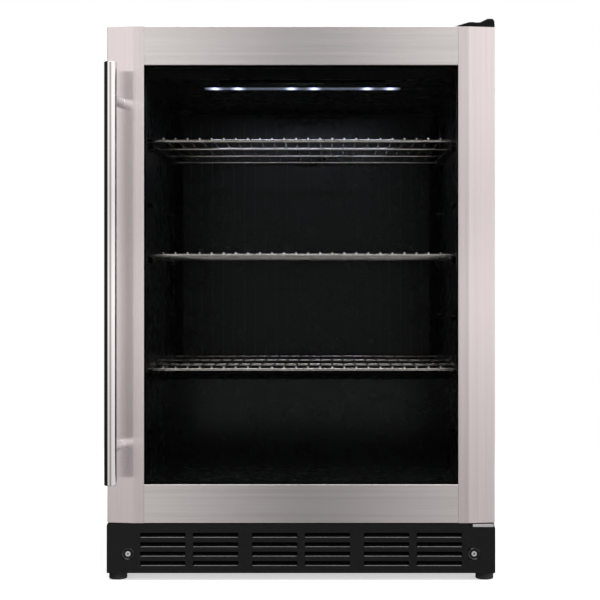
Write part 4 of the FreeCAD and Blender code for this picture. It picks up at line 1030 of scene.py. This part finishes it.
@dataclass
class Controls:
    """The control strip at the front of the ceiling."""

    window: tuple[float, float] = (34 * MM, 9 * MM)
    mark: tuple[float, float] = (1.6 * MM, 0.35 * MM)
    segment: tuple[float, float] = (4.2 * MM, 0.9 * MM)

    def build(self) -> None:
        """Build the display and its digits, and mark the buttons."""
        dress(GLOSS_ABS, "control_housing")
        low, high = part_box("control_housing")
        middle = (low + high) / 2
        reach, margin = self.window
        window = block((middle.x - reach, low.y + margin, low.z - 0.3 * MM),
                       (middle.x + reach, high.y - margin, low.z + 0.6 * MM), 0.25 * MM)
        finish_mesh("display_window", window, SMOKED, "cabinet")
        self.digits(middle, low.z - 0.36 * MM)
        for name in ("power", "lamp", "warmer", "cooler"):
            node = "button_" + name
            dress(GLOSS_ABS, node)
            base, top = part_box(node)
            centre = (base + top) / 2
            strokes = [self.mark, self.mark[::-1]] if name in ("power", "warmer") else [self.mark]
            mark = join(*(block((centre.x - across, centre.y - along, base.z - 0.05 * MM),
                                (centre.x + across, centre.y + along, base.z + 0.1 * MM))
                          for across, along in strokes))
            finish_mesh(node + "_mark", mark, PRINT_GREY, name + "_button")

    def digits(self, middle: Vector, level: float) -> None:
        """Lay two seven-segment digits on the display, read from below.

        Args:
            middle: middle of the display.
            level: height of the segments.
        """
        long, thin = self.segment
        strokes = {"a": (0, 1, True), "g": (0, 0, True), "d": (0, -1, True), "b": (0.5, 0.5, False),
                   "c": (0.5, -0.5, False), "f": (-0.5, 0.5, False), "e": (-0.5, -0.5, False)}
        parts = []
        for offset, lit in ((-5 * MM, "abgcd"), (5 * MM, "abcdefg")):
            for key in lit:
                across, up, flat = strokes[key]
                x = middle.x + offset + across * (long + thin)
                y = middle.y + up * (long + thin)
                half_x, half_y = (long / 2, thin / 2) if flat else (thin / 2, long / 2)
                parts.append(block((x - half_x, y - half_y, level),
                                   (x + half_x, y + half_y, level + 0.1 * MM)))
        finish_mesh("display_digits", join(*parts), SEGMENT_OFF, "cabinet")


@dataclass
class Cabinet:
    """The painted shell, the liner and the evaporator compartment."""

    gauge: float = 1.0 * MM
    hem: float = 9.0 * MM
    field_area: float = 0.06
    screw_margin: float = 14 * MM
    field_margin: float = 26 * MM

    def build(self) -> None:
        """Build the folded shell panels and dress what they hold."""
        self.sides()
        self.top()
        self.back()
        dress(BLACK_PAINT, "front_frame")
        dress(LINER_BLACK, "inner_liner", "evaporator_cover")
        dress(FOAM, "insulation_foam")
        dress(ZINC_SHEET, "base_pan", "machine_bulkhead")
        dress(ALUMINIUM, "evaporator_plate")
        dress(BLACK_ABS, "evaporator_fan_frame", "evaporator_fan_rotor")
        dress(NYLON_NATURAL, "drain_tube")

    def sides(self) -> None:
        """Fold each side panel: a return at the front and one at the back."""
        low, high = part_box("side_panels")
        for name, outer, way in (("side_panel_left", low.x, 1), ("side_panel_right", high.x, -1)):
            inner = outer + way * self.hem
            path = [(inner, low.y, low.z), (outer, low.y, low.z), (outer, high.y, low.z),
                    (inner, high.y, low.z)]
            shape = folded_sheet(path, (0, 0, high.z - low.z), 1.2 * MM)
            piece = finish_mesh(name, shape, BLACK_PAINT, "cabinet", ["side_panels"] if way > 0 else [])
            face = max(piece.data.polygons, key=lambda item: item.area)
            thicken(piece, self.gauge, 1.0 if face.normal.x * way > 0 else -1.0)

    def top(self) -> None:
        """Make the top panel as a flat plate, with a shallow pressed field in it."""
        low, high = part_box("top_panel")
        shape = block((low.x, low.y, high.z - self.gauge), high)
        crown = [face for face in shape.faces if face.normal.z > 0.5]
        bmesh.ops.inset_region(shape, faces=crown, thickness=self.field_margin)
        inner = [face for face in shape.faces if face.normal.z > 0.5 and face.calc_area() > 0.1]
        bmesh.ops.inset_region(shape, faces=inner, thickness=2.5 * MM, depth=-0.6 * MM)
        piece = finish_mesh("top_sheet", shape, BLACK_PAINT, "cabinet", ["top_panel"])
        soften(piece, 0.3 * MM)

    def back(self) -> None:
        """Press three stiffening fields out of the back panel and line it with screws."""
        low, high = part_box("back_panel")
        border = high.y - 0.8 * MM
        shape = block(low, (high.x, border, high.z))
        for index in range(2):
            level = low.z + (high.z - low.z) * (index + 1) / 3
            slice_up(shape, (0, 0, level), (0, 0, 1))
        fields = [face for face in shape.faces if face.normal.y > 0.5]
        bmesh.ops.inset_individual(shape, faces=fields, thickness=self.field_margin)
        inner = [face for face in shape.faces if face.normal.y > 0.5 and face.calc_area() > self.field_area]
        bmesh.ops.inset_individual(shape, faces=inner, thickness=4 * MM, depth=0.7 * MM)
        piece = finish_mesh("back_sheet", shape, BLACK_PAINT, "cabinet", ["back_panel"])
        soften(piece, 0.2 * MM)
        span = high.z - low.z - 2 * self.screw_margin
        seats = [(side * (high.x - 13 * MM), border, low.z + self.screw_margin + step * span / 4)
                 for side in (-1, 1) for step in range(5)]
        screw_row(("back_screws", "back_screw_slots"), seats, (0, 1, 0), (3.6 * MM, 0.7 * MM),
                  (2.0 * MM, 0.75 * MM))


@dataclass
class Machine:
    """What stands in the machine compartment and its rear cover."""

    def build(self) -> None:
        """Dress the machine compartment's pieces."""
        dress(ENAMEL_BLACK, "compressor")
        dress(RUBBER_BLACK, "compressor_grommets")
        dress(BLACK_ABS, "relay_cover", "condenser_fan_frame", "condenser_fan_rotor", "cord_gland")
        dress(NYLON_NATURAL, "drain_pan")
        dress(ALUMINIUM, "condenser_coil")
        dress(COPPER, "filter_drier", "refrigerant_pipes")
        dress(BLACK_PAINT, "rear_machine_cover")


@dataclass
class Feet:
    """The four levelling feet.

    The pad's outline is given by (way in from the rim, height) of its corners, in mm.
    """

    ribs: int = 5
    pad_height: float = 12 * MM
    thread_pitch: float = 1.25 * MM
    sole: Pairs = ((2, 0), (0.9, 0.3), (0.25, 1.0), (0, 2), (0, 4))
    rib: Pairs = ((0, 0), (0.35, 0.35), (0.35, 0.7), (0, 1.0))
    crown: Pairs = ((0, 11.2), (0.8, 12))

    def build(self) -> None:
        """Build each foot: a rubbery pad with grip rings under a threaded stem."""
        for name in ("front_left", "front_right", "rear_left", "rear_right"):
            node = "levelling_foot_" + name
            low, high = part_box(node)
            height = high.z - low.z
            place = Matrix.Translation(((low.x + high.x) / 2, (low.y + high.y) / 2, low.z))
            pad = turned(self.pad((high.x - low.x) / 2), place)
            finish_mesh("foot_pad_" + name, pad, RUBBER_BLACK, "foot_" + name, [node])
            thread = [(0, self.pad_height - 1 * MM)]
            for index in range(int((height - self.pad_height) / self.thread_pitch)):
                level = self.pad_height + index * self.thread_pitch
                thread += [(3.4 * MM, level), (4.0 * MM, level + 0.5 * MM), (4.0 * MM, level + 0.7 * MM)]
            thread += [(3.2 * MM, height), (0, height)]
            finish_mesh("foot_stem_" + name, turned(thread, place, 24), ZINC_PART, "foot_" + name)

    def pad(self, radius: float) -> list[tuple[float, float]]:
        """Draw the outline of the pad.

        Args:
            radius: the pad's radius.

        Returns:
            (radius, height) corners from its underside to its top.
        """
        corners = list(self.sole)
        for index in range(self.ribs):
            corners += [(inset, 4.6 + index * 1.3 + up) for inset, up in self.rib]
        corners += self.crown
        return [(0, 0), *((radius - inset * MM, up * MM) for inset, up in corners), (0, self.pad_height)]


# ---------------------------------------------------------------- stage


@dataclass
class Stage:
    """Camera, floor and soft studio light.

    The compass gives the light's level at each direction, in degrees from straight ahead of the
    door, and the rise its level at each height. A slope has the two values between which a factor
    changes and its level at each of them.
    """

    eye_height: float = 0.456
    distance: float = 2.15
    lens: float = 84.3
    shift: float = -17 / 600
    eye_side: float = 0.045
    nudge: float = -1.05 / 600
    floor_radius: float = 1.9
    floor_glow: float = 0.5
    floor_fade: tuple[float, float] = (0.45, 0.95)
    compass_gain: float = 1.6
    dip_side: float = math.radians(1.8)
    ahead_dip: Slope = (0.0, math.radians(7), 0.30, 1.0)
    dark_side: Slope = (math.radians(-52), math.radians(-42), 0.03, 1.0)
    above: Slope = (0.15, 0.24, 0.0, 1.0)
    below: Slope = (-0.15, -0.24, 0.0, 0.16)
    compass: Pairs = (
        (-180, 0.16), (-140, 0.12), (-122, 0.015), (-52, 0.015), (-42, 0.45), (-36, 0.90), (-16, 0.90),
        (-9, 0.60), (-5, 0.44), (-1, 0.17), (7, 0.60), (11, 0.28), (15, 0.32), (20, 0.55), (27, 0.85),
        (40, 0.95), (92, 0.95), (106, 0.35), (130, 0.20), (180, 0.16))
    rise: Pairs = (
        (-1.0, 0.5), (-0.35, 0.55), (-0.15, 0.62), (-0.083, 0.75), (-0.01, 1.0), (0.06, 0.8), (0.12, 1.0),
        (1.0, 1.0))

    def build(self) -> None:
        """Set the camera, the floor, the surrounding light and the lamps."""
        self.camera()
        self.floor()
        self.surround()
        self.lamps()

    def camera(self) -> None:
        """Put the camera square to the door at eye height."""
        data = bpy.data.cameras.new("camera")
        data.lens = self.lens
        data.sensor_width = 36
        data.shift_x = self.nudge - self.eye_side * self.lens / (data.sensor_width * self.distance)
        data.shift_y = self.shift
        camera = add_object("camera", data)
        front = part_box("door_rails")[0].y
        camera.location = (self.eye_side, front - self.distance, self.eye_height)
        camera.rotation_euler = (math.pi / 2, 0, 0)
        bpy.context.scene.camera = camera

    def floor(self) -> None:
        """Lay a round pale floor that fades out at its rim."""
        shape = bmesh.new()
        bmesh.ops.create_circle(shape, cap_ends=True, radius=self.floor_radius, segments=96)
        mesh = bpy.data.meshes.new("floor")
        shape.to_mesh(mesh)
        shape.free()
        made = bpy.data.materials.new("floor_pale")
        made.use_nodes = True
        tree = made.node_tree
        place = add_node(tree, "TexCoord")
        reach = add_node(tree, "VectorMath", {0: place.outputs["Object"]}, operation="LENGTH")
        fade = add_node(tree, "MapRange", {
            "Value": reach.outputs["Value"], "From Min": self.floor_radius * self.floor_fade[0],
            "From Max": self.floor_radius * self.floor_fade[1], "To Min": 1.0, "To Max": 0.0},
            interpolation_type="SMOOTHSTEP")
        plug(tree, tree.nodes["Principled BSDF"], {
            "Base Color": linear("FFFFFF"), "Roughness": 0.7, "Emission Color": linear("FFFFFF"),
            "Emission Strength": self.floor_glow, "Alpha": fade})
        mesh.materials.append(made)
        floor = add_object("floor", mesh)
        floor.visible_glossy = False

    def surround(self) -> None:
        """Surround the object with soft light, and let it look white beyond the object.

        The light that comes through the glass in this way is shut out: a lamp stands for it.
        """
        world = bpy.data.worlds.new("studio")
        bpy.context.scene.world = world
        world.use_nodes = True
        tree = world.node_tree
        tree.nodes.clear()
        ray = add_node(tree, "LightPath")
        open_air = add_node(tree, "Math", {0: ray.outputs["Transmission Depth"], 1: 0.5},
                            operation="LESS_THAN")
        power = add_node(tree, "Math", {0: self.glow(tree), 1: open_air}, operation="MULTIPLY")
        lit = add_node(tree, "Background", {"Color": linear("FFFAF9"), "Strength": power})
        seen = add_node(tree, "Background", {"Color": linear("FFFFFF"), "Strength": 1.0})
        bounces = add_node(tree, "Math", {0: ray.outputs["Diffuse Depth"], 1: ray.outputs["Glossy Depth"]},
                           operation="ADD")
        unbounced = add_node(tree, "Math", {0: bounces, 1: 0.5}, operation="LESS_THAN")
        straight = add_node(tree, "Math", {
            0: ray.outputs["Is Camera Ray"], 1: ray.outputs["Is Transmission Ray"]}, operation="MAXIMUM")
        share = add_node(tree, "Math", {0: straight, 1: unbounced}, operation="MULTIPLY")
        both = add_node(tree, "MixShader", {0: share, 1: lit, 2: seen})
        add_node(tree, "OutputWorld", {"Surface": both})

    def glow(self, tree: NodeTree) -> Node:
        """Set how bright it is in every direction.

        Round the compass it is bright to both sides of the eye, dimmer straight in front, black at
        the far left and grey behind. High up it is bright and low down it is dim.

        Args:
            tree: the world's tree.

        Returns:
            The node that gives the brightness.
        """
        way = add_node(tree, "TexCoord")
        parts = add_node(tree, "SeparateXYZ", {"Vector": way.outputs["Generated"]})
        ahead = add_node(tree, "Math", {0: parts.outputs["Y"], 1: -1.0}, operation="MULTIPLY")
        turn = add_node(tree, "Math", {0: parts.outputs["X"], 1: ahead}, operation="ARCTAN2")
        share = add_node(tree, "MapRange", {"Value": turn, "From Min": -math.pi, "From Max": math.pi})
        compass = add_node(tree, "ValToRGB", {"Fac": share})
        self.fill(compass, [((degrees + 180) / 360, level) for degrees, level in self.compass])
        height = add_node(tree, "MapRange", {"Value": parts.outputs["Z"], "From Min": -1.0, "From Max": 1.0})
        fall = add_node(tree, "ValToRGB", {"Fac": height})
        self.fill(fall, [((level + 1) / 2, share) for level, share in self.rise])
        around = add_node(tree, "Math", {0: compass, 1: self.compass_gain}, operation="MULTIPLY")
        sides = add_node(tree, "Math", {0: around, 1: fall}, operation="MULTIPLY")
        shifted = add_node(tree, "Math", {0: turn, 1: self.dip_side}, operation="ADD")
        off_front = add_node(tree, "Math", {0: shifted, 1: 0.0}, operation="ABSOLUTE")
        front, dark_side, above, below = (
            add_node(tree, "MapRange", {
                "Value": value, "From Min": slope[0], "From Max": slope[1], "To Min": slope[2],
                "To Max": slope[3]}, interpolation_type="SMOOTHSTEP")
            for value, slope in ((off_front, self.ahead_dip), (turn, self.dark_side),
                                 (parts.outputs["Z"], self.above), (parts.outputs["Z"], self.below)))
        for factor in (front, dark_side):
            above = add_node(tree, "Math", {0: above, 1: factor}, operation="MULTIPLY")
        below = add_node(tree, "Math", {0: below, 1: front}, operation="MULTIPLY")
        for other in (above, below):
            sides = add_node(tree, "Math", {0: sides, 1: other}, operation="MAXIMUM")
        return sides

    def fill(self, ramp: Node, stops: Pairs) -> None:
        """Fill a colour ramp with greys.

        Args:
            ramp: the colour ramp.
            stops: position and level of every stop, the first and the last at 0 and 1.
        """
        elements = ramp.color_ramp.elements
        for element, (_, level) in zip(elements, (stops[0], stops[-1])):
            element.color = (level, level, level, 1)
        for position, level in stops[1:-1]:
            elements.new(position).color = (level, level, level, 1)

    def lamps(self) -> None:
        """Add the softboxes, and the light that falls in through the glass and from the diodes."""
        self.area("softbox_top", (0, -1.2, 2.8), (0, 0, 0.5), 2.6, 1.6, 46)
        for name, side in (("softbox_right", 1), ("softbox_left", -1)):
            self.area(name, (side * 2.4, -1.4, 1.3), (0, 0, 0.5), 1.2, 2.0, 14).visible_glossy = False
        low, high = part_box("inner_liner")
        middle = (low.z + high.z) / 2
        front = low.y + 20 * MM
        lamp_low, lamp_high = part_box("lamp_lens")
        x, y, _ = (lamp_low + lamp_high) / 2
        strips = [
            self.area("light_through_glass", (0, low.y - 4 * MM, middle), (0, high.y, middle),
                      0.44, 0.58, 0.3),
            self.area("strip_high", (0, front, high.z - 3 * MM), (0, front, low.z), 0.48, 0.03, 0.6),
            self.area("light_of_diodes", (x, y, lamp_low.z - 2 * MM), (x, y + 1 * MM, low.z),
                      0.30, 0.02, 0.7),
        ]
        strips[-1].data.color = linear("DDE6FF")[:3]
        for light in strips:
            light.visible_camera = False
            light.visible_transmission = False

    def area(self, name: str, place: Point, aim: Point, width: float, height: float, watts: float) -> Object:
        """Add one rectangular light.

        Args:
            name: the light's name.
            place: where it stands.
            aim: the point it faces.
            width: its width.
            height: its height.
            watts: its power.

        Returns:
            The light's object.
        """
        data = bpy.data.lights.new(name, "AREA")
        data.shape = "RECTANGLE"
        data.size = width
        data.size_y = height
        data.energy = watts
        light = add_object(name, data)
        light.location = place
        light.rotation_euler = (Vector(aim) - Vector(place)).to_track_quat("-Z", "Y").to_euler()
        return light


def main() -> None:
    """Build the stage and every sub-assembly."""
    logging.basicConfig(level=logging.INFO, format="%(message)s")
    assemblies = (Stage(), Door(), Handle(), ToeKick(), Hinges(), Shelves(), Lamp(), Controls(), Cabinet(),
                  Machine(), Feet())
    for assembly in assemblies:
        log.info("building %s", type(assembly).__name__)
        assembly.build()
    bpy.context.scene.view_settings.view_transform = "Standard"


if __name__ == "__main__":
    main()
